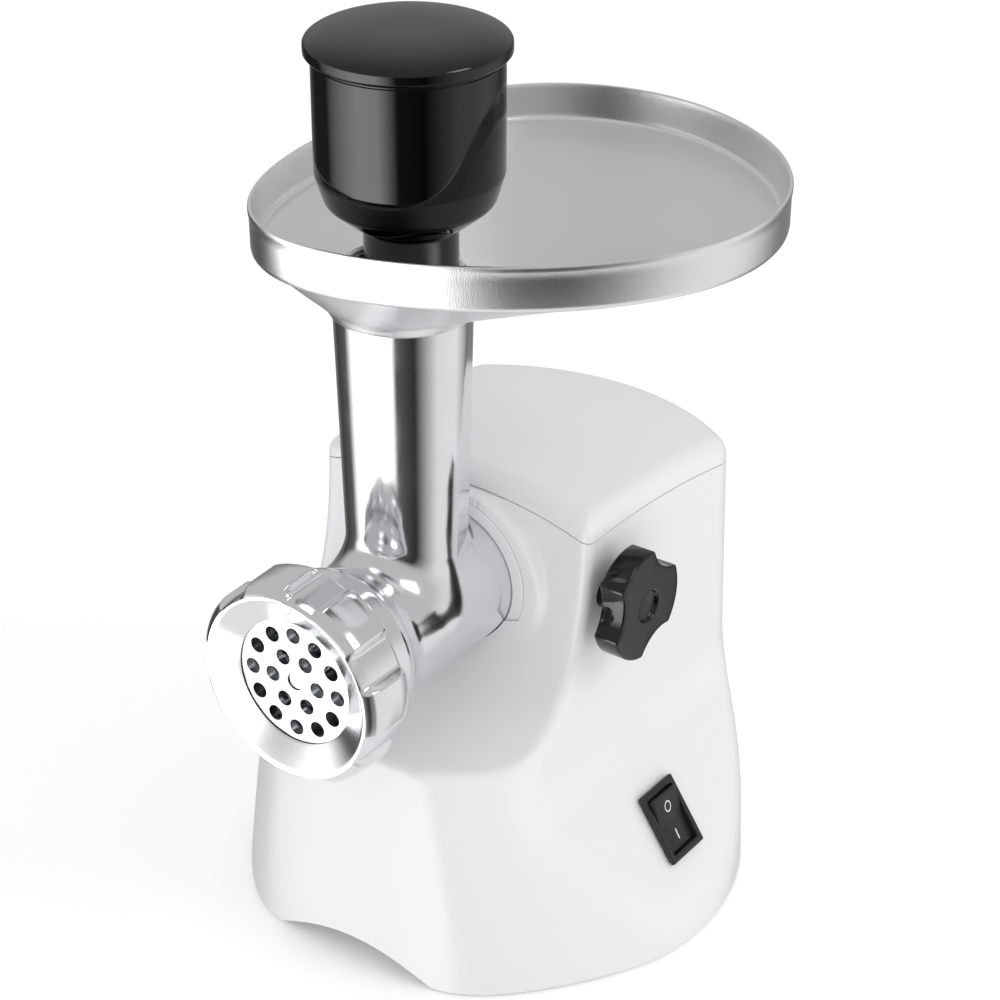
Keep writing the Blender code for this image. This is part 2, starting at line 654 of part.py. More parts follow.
def make_pusher():
    centre = (PUSHER_X, PUSHER_Y, 0)
    outside = [
        (0.0, PLUG_END), (PLUG_R - 1.5, PLUG_END), (PLUG_R, PLUG_END + 1.5), (PLUG_R, 322.0), (24.0, 326.0),
        (30.5, 331.0), (34.6, 337.0), (PUSHER_R, 345.0), (PUSHER_R, CUP_TOP),
    ]
    inside = [
        (PUSHER_R - 2.0, CUP_TOP), (PUSHER_R - 2.0, 346.0), (32.6, 339.0), (28.5, 333.0), (22.0, 328.0),
        (PLUG_R - 2.0, 324.0), (PLUG_R - 2.0, PLUG_END + 2.5), (0.0, PLUG_END + 2.5),
    ]
    turned("pusher_cup", outside + inside, centre, "Z", 36, "black_gloss")
    lid = [
        (0.0, CUP_TOP + GAP), (36.8, CUP_TOP + GAP), (36.8, 391.2), (38.2, 391.2),
        (LID_R, 392.6), (LID_R, 395.8), (38.2, 397.4),
        (36.0, 398.6), (28.0, LID_TOP - 0.8), (14.0, LID_TOP - 0.2), (0.0, LID_TOP),
    ]
    turned("pusher_lid", lid, centre, "Z", 36, "black_gloss")


def knob_radius(angle):
    """Three broad lobes with a shallow scallop between each pair."""
    third = math.tau / 3
    turn = (angle - KNOB_TURN + third / 2) % third - third / 2
    inside = KNOB_SCALLOP_R ** 2 - (KNOB_SCALLOP_AT * math.sin(turn)) ** 2
    if inside <= 0.0:
        return KNOB_LOBE_R
    scallop = KNOB_SCALLOP_AT * math.cos(turn) - math.sqrt(inside)
    gap = max(0.0, 1.0 - abs(scallop - KNOB_LOBE_R)) ** 2 / 4
    return min(scallop, KNOB_LOBE_R) - gap


def make_knob():
    points = []
    for k in range(72):
        angle = math.tau * k / 72
        radius = knob_radius(angle)
        points.append((radius * math.cos(angle), radius * math.sin(angle)))
    centre = (0, KNOB_Y, KNOB_Z)
    place = Matrix.Translation(centre) @ along("X")
    knob = outline("lock_knob", points, KNOB_BACK, KNOB_FACE, place, "black_gloss", centre)
    join(knob, rod("knob_stem", 6.2, 60.3, 80.0, centre, "X", 24))
    dish = [(0.0, KNOB_FACE - 2.0), (6.2, KNOB_FACE - 1.8), (7.2, KNOB_FACE + 1.0), (0.0, KNOB_FACE + 1.0)]
    cut(knob, turned("knob_dish", dish, centre, "X", 24))
    cut(knob, rod("knob_socket", 3.06, 50.0, 66.0, centre, "X", 24))
    tip = [(0.0, 30.9), (3.0, 30.9), (4.0, 32.0), (4.0, 60.0), (3.0, 60.0), (3.0, 65.7), (0.0, 65.7)]
    turned("clamp_plunger", tip, centre, "X", 24, "steel")


def make_switch():
    frame = switch_frame()
    half_w = BEZEL_W / 2
    half_l = BEZEL_L / 2
    low = (-half_w, -half_l, GAP)
    body = block("switch_body", low, (half_w, half_l, 2.6), "black_switch", SWITCH_AT, frame)
    join(body, block("switch_back", (-10.7, -14.9, -16.0), (10.7, 14.9, 1.5), None, (0, 0, 0), frame))
    cut(body, block("switch_pocket", (-9.2, -13.2, -9.0), (9.2, 13.2, 9.0), None, (0, 0, 0), frame))
    profile = [
        (-12.6, -4.0), (-9.0, -6.0), (9.0, -6.0), (12.6, -4.0), (12.6, 2.9),
        (6.0, 1.9), (0.0, 1.5), (-6.0, 1.9), (-12.6, 2.9),
    ]
    tilt = Matrix.Rotation(-ROCKER_TILT, 4, "X")
    stand = Matrix(((0, 0, 1, 0), (1, 0, 0, 0), (0, 1, 0, 0), (0, 0, 0, 1)))
    pivot = frame @ Vector((0, 0, 0))
    outline("switch_rocker", profile, -8.8, 8.8, frame @ tilt @ stand, "black_switch", tuple(pivot))


def main():
    clear_scene()
    make_paints()
    make_housing()
    make_cover()
    make_base()
    make_collar()
    make_gearbox()
    make_drive()
    make_motor()
    make_head()
    make_auger()
    make_screen()
    make_ring()
    make_tray()
    make_pusher()
    make_knob()
    make_switch()


main()
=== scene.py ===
"""Looks of an electric meat grinder: white body, polished cast head, egg-shaped tray, black pusher."""

import math

import bmesh
import bpy
import numpy as np
from mathutils import Matrix, Vector


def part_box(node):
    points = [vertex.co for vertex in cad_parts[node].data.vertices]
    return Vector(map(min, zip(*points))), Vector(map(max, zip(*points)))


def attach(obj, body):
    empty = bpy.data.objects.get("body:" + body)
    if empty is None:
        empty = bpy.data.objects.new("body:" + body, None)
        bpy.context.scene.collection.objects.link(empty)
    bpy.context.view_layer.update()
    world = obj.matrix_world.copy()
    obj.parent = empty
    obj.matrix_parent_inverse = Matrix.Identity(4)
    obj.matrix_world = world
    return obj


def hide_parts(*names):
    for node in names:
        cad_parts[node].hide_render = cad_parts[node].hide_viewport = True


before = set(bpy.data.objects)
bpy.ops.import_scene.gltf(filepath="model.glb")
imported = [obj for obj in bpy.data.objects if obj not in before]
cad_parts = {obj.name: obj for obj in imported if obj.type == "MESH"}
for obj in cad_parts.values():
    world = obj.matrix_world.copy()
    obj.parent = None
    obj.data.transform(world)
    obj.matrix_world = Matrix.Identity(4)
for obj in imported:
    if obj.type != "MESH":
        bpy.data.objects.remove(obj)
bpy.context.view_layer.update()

bl_info = {
    "name": "Meat Grinder",
    "version": (1, 0, 0),
    "blender": (4, 5, 0),
    "location": "View3D > Sidebar > Grinder",
    "description": "Builds the visible pieces of an electric meat grinder around its frame",
    "category": "Add Mesh",
}

MM = 0.001


def middle(node):
    low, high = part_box(node)
    return (Vector(low) + Vector(high)) / 2


# Sizes are in millimetres from HOME, where the feed tube's axis meets the table.
PUSHER_AT = (3.0, 2.0, 0.0)
HOME = Vector((middle("output_shaft").x, middle("pusher_cup").y - PUSHER_AT[1] * MM, 0.0))
BARREL_Z = middle("output_shaft").z / MM
BARREL_AT = (0.0, 0.0, BARREL_Z)
BARREL_FRONT = -70.5
BARREL_BACK = 55.0
TUBE_TOP = 303.0
OUTLET_R = 36.35
OUTLET_BACK = 62.0
BOSS_R = 44.5
BOSS_RISE = 39.2  # from the barrel's axis to the flattened top
BOSS_Y = 30.6
DRUM_Y = 60.0
DRUM_R = 111.0
FRONT_Y = -43.0
FLANK_X = 67.0
SHOULDER = (0.835, 0.551, 100.1)
ROOF_R = 450.0
ROOF_Y = 50.0
ROOF_Z = -247.0
SEAM_R = 440.5
SEAM_HALF = 0.25
KNOB_AT = (0.0, 44.5, 161.3)
SWITCH_AT = (89.9, 62.6, 46.4)


# ---------------------------------------------------------------- settings

class BodySizes(bpy.types.PropertyGroup):
    wall: bpy.props.FloatProperty(name="Wall", description="Thickness of the moulded wall",
                                  default=0.003, min=0.001, unit="LENGTH")
    edge: bpy.props.FloatProperty(name="Edge radius", description="Rounding along the body's corners",
                                  default=0.005, min=0.001, unit="LENGTH")
    roof_edge: bpy.props.FloatProperty(name="Roof edge", description="Rounding around the roof",
                                       default=0.0075, min=0.001, unit="LENGTH")
    colour: bpy.props.FloatVectorProperty(name="Body colour", description="Colour of the white moulding",
                                          size=3, subtype="COLOR", default=(0.78, 0.78, 0.792))


class HeadSizes(bpy.types.PropertyGroup):
    lobes: bpy.props.IntProperty(name="Ring lobes", description="Grips around the screw ring",
                                 default=7, min=4, max=12)
    colour: bpy.props.FloatVectorProperty(name="Metal colour", description="Colour of the cast metal",
                                          size=3, subtype="COLOR", default=(0.86, 0.865, 0.88))


class PusherSizes(bpy.types.PropertyGroup):
    radius: bpy.props.FloatProperty(name="Cup radius", description="Outside radius of the pusher's cup",
                                    default=0.0364, unit="LENGTH")
    colour: bpy.props.FloatVectorProperty(name="Pusher colour", description="Colour of the gloss black",
                                          size=3, subtype="COLOR", default=(0.0015, 0.0015, 0.0016))


# ---------------------------------------------------------------- shader groups

def socket(group, name, kind, way, default=None):
    made = group.interface.new_socket(name=name, in_out=way, socket_type=kind)
    if default is not None:
        made.default_value = default
    return made


def grain_group():
    """Fine even texture: a height and a slow mottling, both from Object coordinates."""
    group = bpy.data.node_groups.new("fine_grain", "ShaderNodeTree")
    socket(group, "Scale", "NodeSocketFloat", "INPUT", 900.0)
    socket(group, "Mottle Scale", "NodeSocketFloat", "INPUT", 40.0)
    socket(group, "Height", "NodeSocketFloat", "OUTPUT")
    socket(group, "Mottle", "NodeSocketFloat", "OUTPUT")
    nodes = group.nodes
    links = group.links
    entry = nodes.new("NodeGroupInput")
    leave = nodes.new("NodeGroupOutput")
    where = nodes.new("ShaderNodeTexCoord")
    fine = nodes.new("ShaderNodeTexNoise")
    fine.inputs["Detail"].default_value = 3.0
    slow = nodes.new("ShaderNodeTexNoise")
    slow.inputs["Detail"].default_value = 4.0
    links.new(where.outputs["Object"], fine.inputs["Vector"])
    links.new(where.outputs["Object"], slow.inputs["Vector"])
    links.new(entry.outputs["Scale"], fine.inputs["Scale"])
    links.new(entry.outputs["Mottle Scale"], slow.inputs["Scale"])
    links.new(fine.outputs["Fac"], leave.inputs["Height"])
    links.new(slow.outputs["Fac"], leave.inputs["Mottle"])
    return group


def range_group():
    """Turns a 0 to 1 mask into a value between two ends."""
    group = bpy.data.node_groups.new("value_between", "ShaderNodeTree")
    socket(group, "Mask", "NodeSocketFloat", "INPUT", 0.5)
    socket(group, "Low", "NodeSocketFloat", "INPUT", 0.2)
    socket(group, "High", "NodeSocketFloat", "INPUT", 0.4)
    socket(group, "Value", "NodeSocketFloat", "OUTPUT")
    nodes = group.nodes
    links = group.links
    entry = nodes.new("NodeGroupInput")
    leave = nodes.new("NodeGroupOutput")
    spread = nodes.new("ShaderNodeMapRange")
    spread.inputs["From Min"].default_value = 0.3
    spread.inputs["From Max"].default_value = 0.7
    links.new(entry.outputs["Mask"], spread.inputs["Value"])
    links.new(entry.outputs["Low"], spread.inputs["To Min"])
    links.new(entry.outputs["High"], spread.inputs["To Max"])
    links.new(spread.outputs["Result"], leave.inputs["Value"])
    return group


def scratch_group():
    """Long fine marks running one way: the coordinates are stretched before the noise."""
    group = bpy.data.node_groups.new("drawn_marks", "ShaderNodeTree")
    socket(group, "Stretch", "NodeSocketVector", "INPUT")
    socket(group, "Height", "NodeSocketFloat", "OUTPUT")
    nodes = group.nodes
    links = group.links
    entry = nodes.new("NodeGroupInput")
    leave = nodes.new("NodeGroupOutput")
    where = nodes.new("ShaderNodeTexCoord")
    stretch = nodes.new("ShaderNodeVectorMath")
    stretch.operation = "MULTIPLY"
    marks = nodes.new("ShaderNodeTexNoise")
    marks.inputs["Scale"].default_value = 1.0
    marks.inputs["Detail"].default_value = 5.0
    marks.inputs["Roughness"].default_value = 0.65
    links.new(where.outputs["Object"], stretch.inputs[0])
    links.new(entry.outputs["Stretch"], stretch.inputs[1])
    links.new(stretch.outputs["Vector"], marks.inputs["Vector"])
    links.new(marks.outputs["Fac"], leave.inputs["Height"])
    return group


GROUPS = {}


def build_groups():
    GROUPS["grain"] = grain_group()
    GROUPS["between"] = range_group()
    GROUPS["marks"] = scratch_group()


def use_group(tree, key):
    node = tree.nodes.new("ShaderNodeGroup")
    node.node_tree = GROUPS[key]
    return node


def finish_material(name, colour, metallic, rough, grain, bump, mottle, tint):
    """One material: colour, a roughness range that follows the mottling, and a fine bump."""
    material = bpy.data.materials.new(name)
    material.use_nodes = True
    tree = material.node_tree
    shader = tree.nodes["Principled BSDF"]
    shader.inputs["Metallic"].default_value = metallic
    texture = use_group(tree, "grain")
    texture.inputs["Scale"].default_value = grain
    texture.inputs["Mottle Scale"].default_value = mottle
    spread = use_group(tree, "between")
    spread.inputs["Low"].default_value = rough[0]
    spread.inputs["High"].default_value = rough[1]
    tree.links.new(texture.outputs["Mottle"], spread.inputs["Mask"])
    tree.links.new(spread.outputs["Value"], shader.inputs["Roughness"])
    mix = tree.nodes.new("ShaderNodeMix")
    mix.data_type = "RGBA"
    mix.inputs["A"].default_value = (*colour, 1.0)
    mix.inputs["B"].default_value = (*[c * (1.0 - tint) for c in colour], 1.0)
    tree.links.new(texture.outputs["Mottle"], mix.inputs["Factor"])
    tree.links.new(mix.outputs["Result"], shader.inputs["Base Color"])
    relief = tree.nodes.new("ShaderNodeBump")
    relief.inputs["Strength"].default_value = bump[0]
    relief.inputs["Distance"].default_value = bump[1]
    tree.links.new(texture.outputs["Height"], relief.inputs["Height"])
    tree.links.new(relief.outputs["Normal"], shader.inputs["Normal"])
    return material


def add_marks(material, stretch, strength, distance):
    """Adds drawn marks to a metal, on top of its grain."""
    tree = material.node_tree
    shader = tree.nodes["Principled BSDF"]
    marks = use_group(tree, "marks")
    marks.inputs["Stretch"].default_value = stretch
    relief = tree.nodes.new("ShaderNodeBump")
    relief.inputs["Strength"].default_value = strength
    relief.inputs["Distance"].default_value = distance
    before = shader.inputs["Normal"].links[0].from_socket
    tree.links.new(marks.outputs["Height"], relief.inputs["Height"])
    tree.links.new(before, relief.inputs["Normal"])
    tree.links.new(relief.outputs["Normal"], shader.inputs["Normal"])


# Each look: material name, colour or the setting that holds it, metallic, roughness range,
# grain scale, bump strength and distance, mottling scale, and how much the mottling darkens it.
FINISHES = {
    "white": ("white_moulding", "grinder_body", 0.0, (0.31, 0.34), 2200.0, (0.06, 0.0002), 9.0, 0.004),
    "cast": ("polished_casting", "grinder_head", 1.0, (0.09, 0.17), 1500.0, (0.05, 0.0002), 60.0, 0.04),
    "sheet": ("satin_sheet", (0.86, 0.865, 0.875), 1.0, (0.2, 0.27), 2600.0, (0.4, 0.0002), 14.0, 0.02),
    "black": ("gloss_black", "grinder_pusher", 0.0, (0.035, 0.06), 900.0, (0.01, 0.0002), 25.0, 0.0),
    "switch": ("switch_black", (0.014, 0.014, 0.015), 0.0, (0.3, 0.42), 3000.0, (0.15, 0.0002), 60.0,
               0.1),
    "mark": ("switch_mark_white", (0.78, 0.78, 0.78), 0.0, (0.4, 0.5), 2500.0, (0.05, 0.0001), 60.0,
             0.05),
    "rubber": ("foot_rubber", (0.03, 0.03, 0.032), 0.0, (0.7, 0.85), 1800.0, (0.3, 0.0003), 50.0, 0.2),
    "steel": ("machined_steel", (0.62, 0.63, 0.65), 1.0, (0.18, 0.3), 2000.0, (0.08, 0.0002), 80.0, 0.1),
    "nylon": ("natural_nylon", (0.74, 0.7, 0.6), 0.0, (0.35, 0.5), 1500.0, (0.08, 0.0002), 40.0, 0.06),
    "grey": ("grey_moulding", (0.2, 0.205, 0.21), 0.0, (0.42, 0.58), 1600.0, (0.15, 0.0003), 40.0, 0.1),
    "winding": ("varnished_winding", (0.45, 0.19, 0.08), 1.0, (0.25, 0.45), 700.0, (0.4, 0.0005), 50.0,
                0.3),
}
# Drawn marks on some of them: how the coordinates are stretched, strength and distance.
MARKS = {
    "cast": ((700.0, 60.0, 700.0), 0.03, 0.0002),
    "steel": ((2500.0, 120.0, 2500.0), 0.06, 0.0002),
    "winding": ((300.0, 4000.0, 300.0), 0.5, 0.0004),
}
PAPER = ("pale_floor", (0.9, 0.9, 0.905), 0.0, (0.75, 0.85), 300.0, (0.02, 0.0005), 2.0, 0.005)
LOOKS = {}


def build_looks():
    for key, (name, colour, *rest) in FINISHES.items():
        if isinstance(colour, str):
            colour = getattr(bpy.context.scene, colour).colour
        LOOKS[key] = finish_material(name, colour, *rest)
    for key, values in MARKS.items():
        add_marks(LOOKS[key], *values)


# ---------------------------------------------------------------- making meshes

def nothing_selected():
    if bpy.context.object is not None and bpy.context.object.mode != "OBJECT":
        bpy.ops.object.mode_set(mode="OBJECT")
    bpy.ops.object.select_all(action="DESELECT")


def rounded(corners, steps=5):
    """Replaces each (radius, height, rounding) corner of an open profile with an arc."""
    points = []
    for i, corner in enumerate(corners):
        here = Vector(corner[:2])
        ease = corner[2] if len(corner) > 2 else 0.0
        if ease <= 0.0 or i == 0 or i == len(corners) - 1:
            points.append(tuple(here))
            continue
        back = (Vector(corners[i - 1][:2]) - here)
        on = (Vector(corners[i + 1][:2]) - here)
        turn = back.angle(on)
        reach = min(ease / math.tan(turn / 2), back.length * 0.49, on.length * 0.49)
        one = here + back.normalized() * reach
        two = here + on.normalized() * reach
        for k in range(steps + 1):
            t = k / steps
            points.append(tuple(one * (1 - t) ** 2 + here * 2 * t * (1 - t) + two * t ** 2))
    return points


def spun(name, profile, axis, centre, steps=128):
    """Draws a profile of (radius, distance along the axis) and spins it into a closed piece."""
    ways = {
        "Z": (Vector((1, 0, 0)), Vector((0, 0, 1))),
        "Y": (Vector((1, 0, 0)), Vector((0, 1, 0))),
        "X": (Vector((0, 1, 0)), Vector((1, 0, 0))),
    }
    out, up = ways[axis]
    base = Vector(centre) * MM
    if profile[0][0] > 0.0:
        profile = list(profile) + [profile[0]]
    points = [base + (out * r + up * h) * MM for r, h in profile]
    nothing_selected()
    bpy.ops.mesh.primitive_plane_add(size=0.001, location=points[0])
    piece = bpy.context.object
    piece.name = name
    bpy.ops.object.mode_set(mode="EDIT")
    bpy.ops.mesh.select_all(action="SELECT")
    bpy.ops.mesh.merge(type="CENTER")
    for one, two in zip(points, points[1:]):
        bpy.ops.mesh.extrude_region_move(TRANSFORM_OT_translate={"value": two - one})
    bpy.ops.mesh.select_all(action="SELECT")
    bpy.ops.mesh.spin(steps=steps, angle=math.tau, center=base, axis=up)
    bpy.ops.mesh.select_all(action="SELECT")
    bpy.ops.mesh.remove_doubles(threshold=0.000002)
    bpy.ops.mesh.normals_make_consistent(inside=False)
    bpy.ops.object.mode_set(mode="OBJECT")
    bpy.ops.object.transform_apply(location=True, rotation=True, scale=True)
    return piece


def skinned(name, rings, closed=False):
    """Skins rings of equally many points, for forms whose sections all differ."""
    mesh = bmesh.new()
    rows = [[mesh.verts.new(Vector(p) * MM) for p in ring] for ring in rings]
    spans = list(zip(rows, rows[1:]))
    if closed:
        spans.append((rows[-1], rows[0]))
    count = len(rows[0])
    for one, two in spans:
        for i in range(count):
            j = (i + 1) % count
            mesh.faces.new((one[i], one[j], two[j], two[i]))
    if not closed:
        mesh.faces.new(rows[0])
        mesh.faces.new(rows[-1])
    bmesh.ops.recalc_face_normals(mesh, faces=mesh.faces)
    data = bpy.data.meshes.new(name)
    mesh.to_mesh(data)
    mesh.free()
    piece = bpy.data.objects.new(name, data)
    bpy.context.scene.collection.objects.link(piece)
    return piece


def active(piece):
    nothing_selected()
    piece.select_set(True)
    bpy.context.view_layer.objects.active = piece


def applied(piece, kind, **values):
    active(piece)
    modifier = piece.modifiers.new(kind.lower(), kind)
    for key, value in values.items():
        setattr(modifier, key, value)
    bpy.ops.object.modifier_apply(modifier=modifier.name)


def carved(piece, tool, operation="DIFFERENCE"):
    """Cuts with, or joins, a tool that is then thrown away."""
    applied(piece, "BOOLEAN", object=tool, operation=operation, solver="EXACT")
    bpy.data.objects.remove(tool, do_unlink=True)


def cylinder(name, radius, low, high, axis, centre, steps=96):
    """A plain cylinder, only ever used to cut with or to be joined."""
    length = (high - low) * MM
    where = Vector(centre) * MM
    turn = (0.0, 0.0, 0.0)
    offset = Vector((0, 0, (high + low) / 2 * MM))
    if axis == "Y":
        turn = (math.radians(90.0), 0.0, 0.0)
        offset = Vector((0, (high + low) / 2 * MM, 0))
    if axis == "X":
        turn = (0.0, math.radians(90.0), 0.0)
        offset = Vector(((high + low) / 2 * MM, 0, 0))
    nothing_selected()
    bpy.ops.mesh.primitive_cylinder_add(vertices=steps, radius=radius * MM, depth=length,
                                        location=where + offset, rotation=turn)
    tool = bpy.context.object
    tool.name = name
    bpy.ops.object.transform_apply(location=True, rotation=True, scale=True)
    return tool


def brick(name, low, high, place=None, ease=0.0):
    """A block between two corners, its edges eased with a bevel, in a frame of its own."""
    low = Vector(low) * MM
    high = Vector(high) * MM
    nothing_selected()
    bpy.ops.mesh.primitive_cube_add(size=1.0, location=(low + high) / 2)
    piece = bpy.context.object
    piece.name = name
    piece.scale = high - low
    bpy.ops.object.transform_apply(location=True, rotation=True, scale=True)
    if ease > 0.0:
        applied(piece, "BEVEL", width=ease * MM, segments=3, limit_method="ANGLE")
    if place is not None:
        piece.data.transform(place)
    return piece


def settled(piece, body, slot, look, *nodes, angle=35.0):
    """Gives a finished piece its place, shading, material and body; the slot is not used."""
    piece.data.transform(Matrix.Translation(HOME))
    piece.data.update()
    piece.data.materials.clear()
    piece.data.materials.append(LOOKS[look])
    active(piece)
    bpy.ops.object.shade_smooth_by_angle(angle=math.radians(angle))
    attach(piece, body)
    if nodes:
        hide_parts(*nodes)
    return piece


# ---------------------------------------------------------------- fields for soft-edged forms

def meet(a, b, ease):
    """Intersection of two distance fields, with a rounded edge."""
    reach = np.hypot(np.maximum(a + ease, 0.0), np.maximum(b + ease, 0.0))
    return np.minimum(np.maximum(a, b), -ease) + reach


def merge(a, b, ease):
    """Union of two distance fields, with a fillet."""
    reach = np.hypot(np.maximum(ease - a, 0.0), np.maximum(ease - b, 0.0))
    return np.maximum(np.minimum(a, b), ease) - reach


class Sweep:
    """Distance to the swept front: two profiles in Y and Z, blended across the width."""

    first_y = -110.0
    long_y = 320
    long_z = 300

    def __init__(self):
        self.side = self.table(((-46.0, 103.4), (0.0, 97.0), (29.0, 118.0), (31.0, 186.0)))
        self.centre = self.table(((-46.0, 109.2), (8.0, 102.0), (34.0, 106.0), (38.5, 186.0)))

    def table(self, corners):
        """Signed distances to one curved profile, a millimetre apart."""
        p = np.array(corners)
        t = np.linspace(0.0, 1.0, 70)[:, None]
        s = 1.0 - t
        line = s ** 3 * p[0] + 3 * s * s * t * p[1] + 3 * s * t * t * p[2] + t ** 3 * p[3]
        start = line[0] - (line[1] - line[0]) / np.linalg.norm(line[1] - line[0]) * 200.0
        end = line[-1] + np.array((3.0, 200.0))
        line = np.vstack((start, line, end))
        y, z = np.meshgrid(self.first_y + np.arange(self.long_y + 1.0), np.arange(self.long_z + 1.0),
                           indexing="ij")
        best = np.full(y.shape, 1e9)
        sign = np.ones(y.shape)
        for a, b in zip(line, line[1:]):
            run = b - a
            share = ((y - a[0]) * run[0] + (z - a[1]) * run[1]) / (run @ run)
            share = np.clip(share, 0.0, 1.0)
            dy = y - a[0] - share * run[0]
            dz = z - a[1] - share * run[1]
            gap = np.hypot(dy, dz)
            side = np.where(run[0] * (z - a[1]) - run[1] * (y - a[0]) > 0.0, 1.0, -1.0)
            sign = np.where(gap < best, side, sign)
            best = np.minimum(best, gap)
        return best * sign

    def look_up(self, table, y, z):
        u = np.clip(y - self.first_y, 0.0, self.long_y - 0.001)
        v = np.clip(z, 0.0, self.long_z - 0.001)
        i = u.astype(int)
        j = v.astype(int)
        u = u - i
        v = v - j
        low = table[i, j] * (1 - v) + table[i, j + 1] * v
        high = table[i + 1, j] * (1 - v) + table[i + 1, j + 1] * v
        return low * (1 - u) + high * u

    def __call__(self, x, y, z):
        weight = np.maximum(0.0, 1.0 - (x / FLANK_X) ** 2)
        return (1 - weight) * self.look_up(self.side, y, z) + weight * self.look_up(self.centre, y, z)


class BodyForm:
    """The outer form of the machine as one field, negative inside."""

    centre = np.array((0.0, 75.0, 60.0))
    farthest = 230.0

    def __init__(self, edge, roof_edge):
        self.sweep = Sweep()
        self.edge = edge
        self.roof_edge = roof_edge

    def __call__(self, p):
        x = np.abs(p[..., 0])
        y = p[..., 1]
        z = p[..., 2]
        drum = np.hypot(x, y - DRUM_Y) - (DRUM_R - 6.6 * z / 230.0)
        front = FRONT_Y - y
        facet = (0.809 * x - 0.588 * y + 0.164 * z - 76.7) / 1.0135
        flank = merge(x - FLANK_X, SHOULDER[0] * x + SHOULDER[1] * z - SHOULDER[2], 6.6)
        roof = np.sqrt(x ** 2 + (y - ROOF_Y) ** 2 + (z - ROOF_Z) ** 2) - ROOF_R
        field = meet(drum, facet, 10.0)
        field = meet(field, front, self.edge)
        field = meet(field, flank, self.edge + 1.5)
        field = meet(field, self.sweep(p[..., 0], y, z), self.edge)
        return meet(field, roof, self.roof_edge)

    def reach(self, start, way, inset=0.0):
        """How far the surface is from start along each unit direction."""
        steps = np.linspace(0.0, self.farthest, 70)
        low = np.zeros(way.shape[:-1])
        high = np.full(way.shape[:-1], self.farthest)
        found = np.zeros(way.shape[:-1], bool)
        for one, two in zip(steps, steps[1:]):
            outside = self(start + way * two) + inset > 0.0
            fresh = outside & ~found
            low = np.where(fresh, one, low)
            high = np.where(fresh, two, high)
            found |= outside
        for _ in range(22):
            half = (low + high) / 2
            outside = self(start + way * half[..., None]) + inset > 0.0
            high = np.where(outside, half, high)
            low = np.where(outside, low, half)
        return (low + high) / 2

    def ring_angles(self, azimuth, inset, bottom, seam):
        """Elevations, per azimuth, of the bottom edge and of the seam."""
        flat = np.stack((np.cos(azimuth), np.sin(azimuth), np.zeros_like(azimuth)), -1)
        start = np.array((self.centre[0], self.centre[1], bottom))
        out = self.reach(start, flat, inset)
        low = np.arctan2(bottom - self.centre[2], out)
        one = low.copy()
        two = np.full(azimuth.shape, math.radians(89.5))
        for _ in range(24):
            half = (one + two) / 2
            way = self.direction(azimuth, half)
            p = self.centre + way * self.reach(self.centre, way, inset)[..., None]
            high = np.sqrt(p[:, 0] ** 2 + (p[:, 1] - ROOF_Y) ** 2 + (p[:, 2] - ROOF_Z) ** 2) > seam
            two = np.where(high, half, two)
            one = np.where(high, one, half)
        return low, (one + two) / 2

    @staticmethod
    def direction(azimuth, elevation):
        flat = np.cos(elevation)
        return np.stack((np.cos(azimuth) * flat, np.sin(azimuth) * flat, np.sin(elevation)), -1)

    def rows(self, azimuth, low, high, count, inset):
        rings = []
        for t in np.linspace(0.0, 1.0, count):
            way = self.direction(azimuth, low * (1 - t) + high * t)
            rings.append(self.centre + way * self.reach(self.centre, way, inset)[..., None])
        return rings


def turns(count):
    """Evenly spaced angles round a full circle."""
    return np.linspace(0.0, math.tau, count, endpoint=False)


# ---------------------------------------------------------------- the white body

def boss_field(p):
    """The raised boss around the outlet: round below, flattened above."""
    rise = p[..., 2] - BARREL_Z
    rise = np.where(rise > 0.0, rise * BOSS_R / BOSS_RISE, rise)
    boss = meet(np.hypot(p[..., 0], rise) - BOSS_R, BOSS_Y - p[..., 1], 2.2)
    return np.maximum(boss, p[..., 1] - DRUM_Y)


class ShellForm(BodyForm):
    """The body with the outlet's boss blended into its front."""

    def __call__(self, p):
        return merge(super().__call__(p), boss_field(p), 4.0)


class GRINDER_OT_housing(bpy.types.Operator):
    """Add the white housing shell, open at the seam and at the base"""
    bl_idname = "grinder.housing"
    bl_label = "Housing shell"

    def execute(self, context):
        sizes = context.scene.grinder_body
        wall = sizes.wall / MM
        edge = sizes.edge / MM
        around = turns(440)
        outside = ShellForm(edge, sizes.roof_edge / MM)
        low, high = outside.ring_angles(around, 0.0, 1.0, SEAM_R - SEAM_HALF)
        rings = outside.rows(around, low, high, 160, 0.0)
        inside = BodyForm(edge, sizes.roof_edge / MM)
        low, high = inside.ring_angles(around, wall, 1.0, SEAM_R - SEAM_HALF)
        rings += inside.rows(around, high, low, 22, wall)
        shell = skinned("housing", rings, closed=True)
        carved(shell, cylinder("outlet", OUTLET_R, 29.2, OUTLET_BACK, "Y", BARREL_AT, 128))
        carved(shell, cylinder("barrel_way", 30.7, 5.0, 40.0, "Y", BARREL_AT, 128))
        carved(shell, cylinder("knob_hole", 6.6, 50.0, 80.0, "X", KNOB_AT, 48))
        carved(shell, cylinder("arch", 85.0, -60.0, -30.0, "Y", (0.0, 0.0, -74.0), 256))
        opening = brick("switch_hole", (-11.0, -15.2, -30.0), (11.0, 15.2, 20.0), switch_frame())
        carved(shell, opening)
        settled(shell, "base", "white_plastic", "white", "housing_shell", angle=40.0)
        return {"FINISHED"}


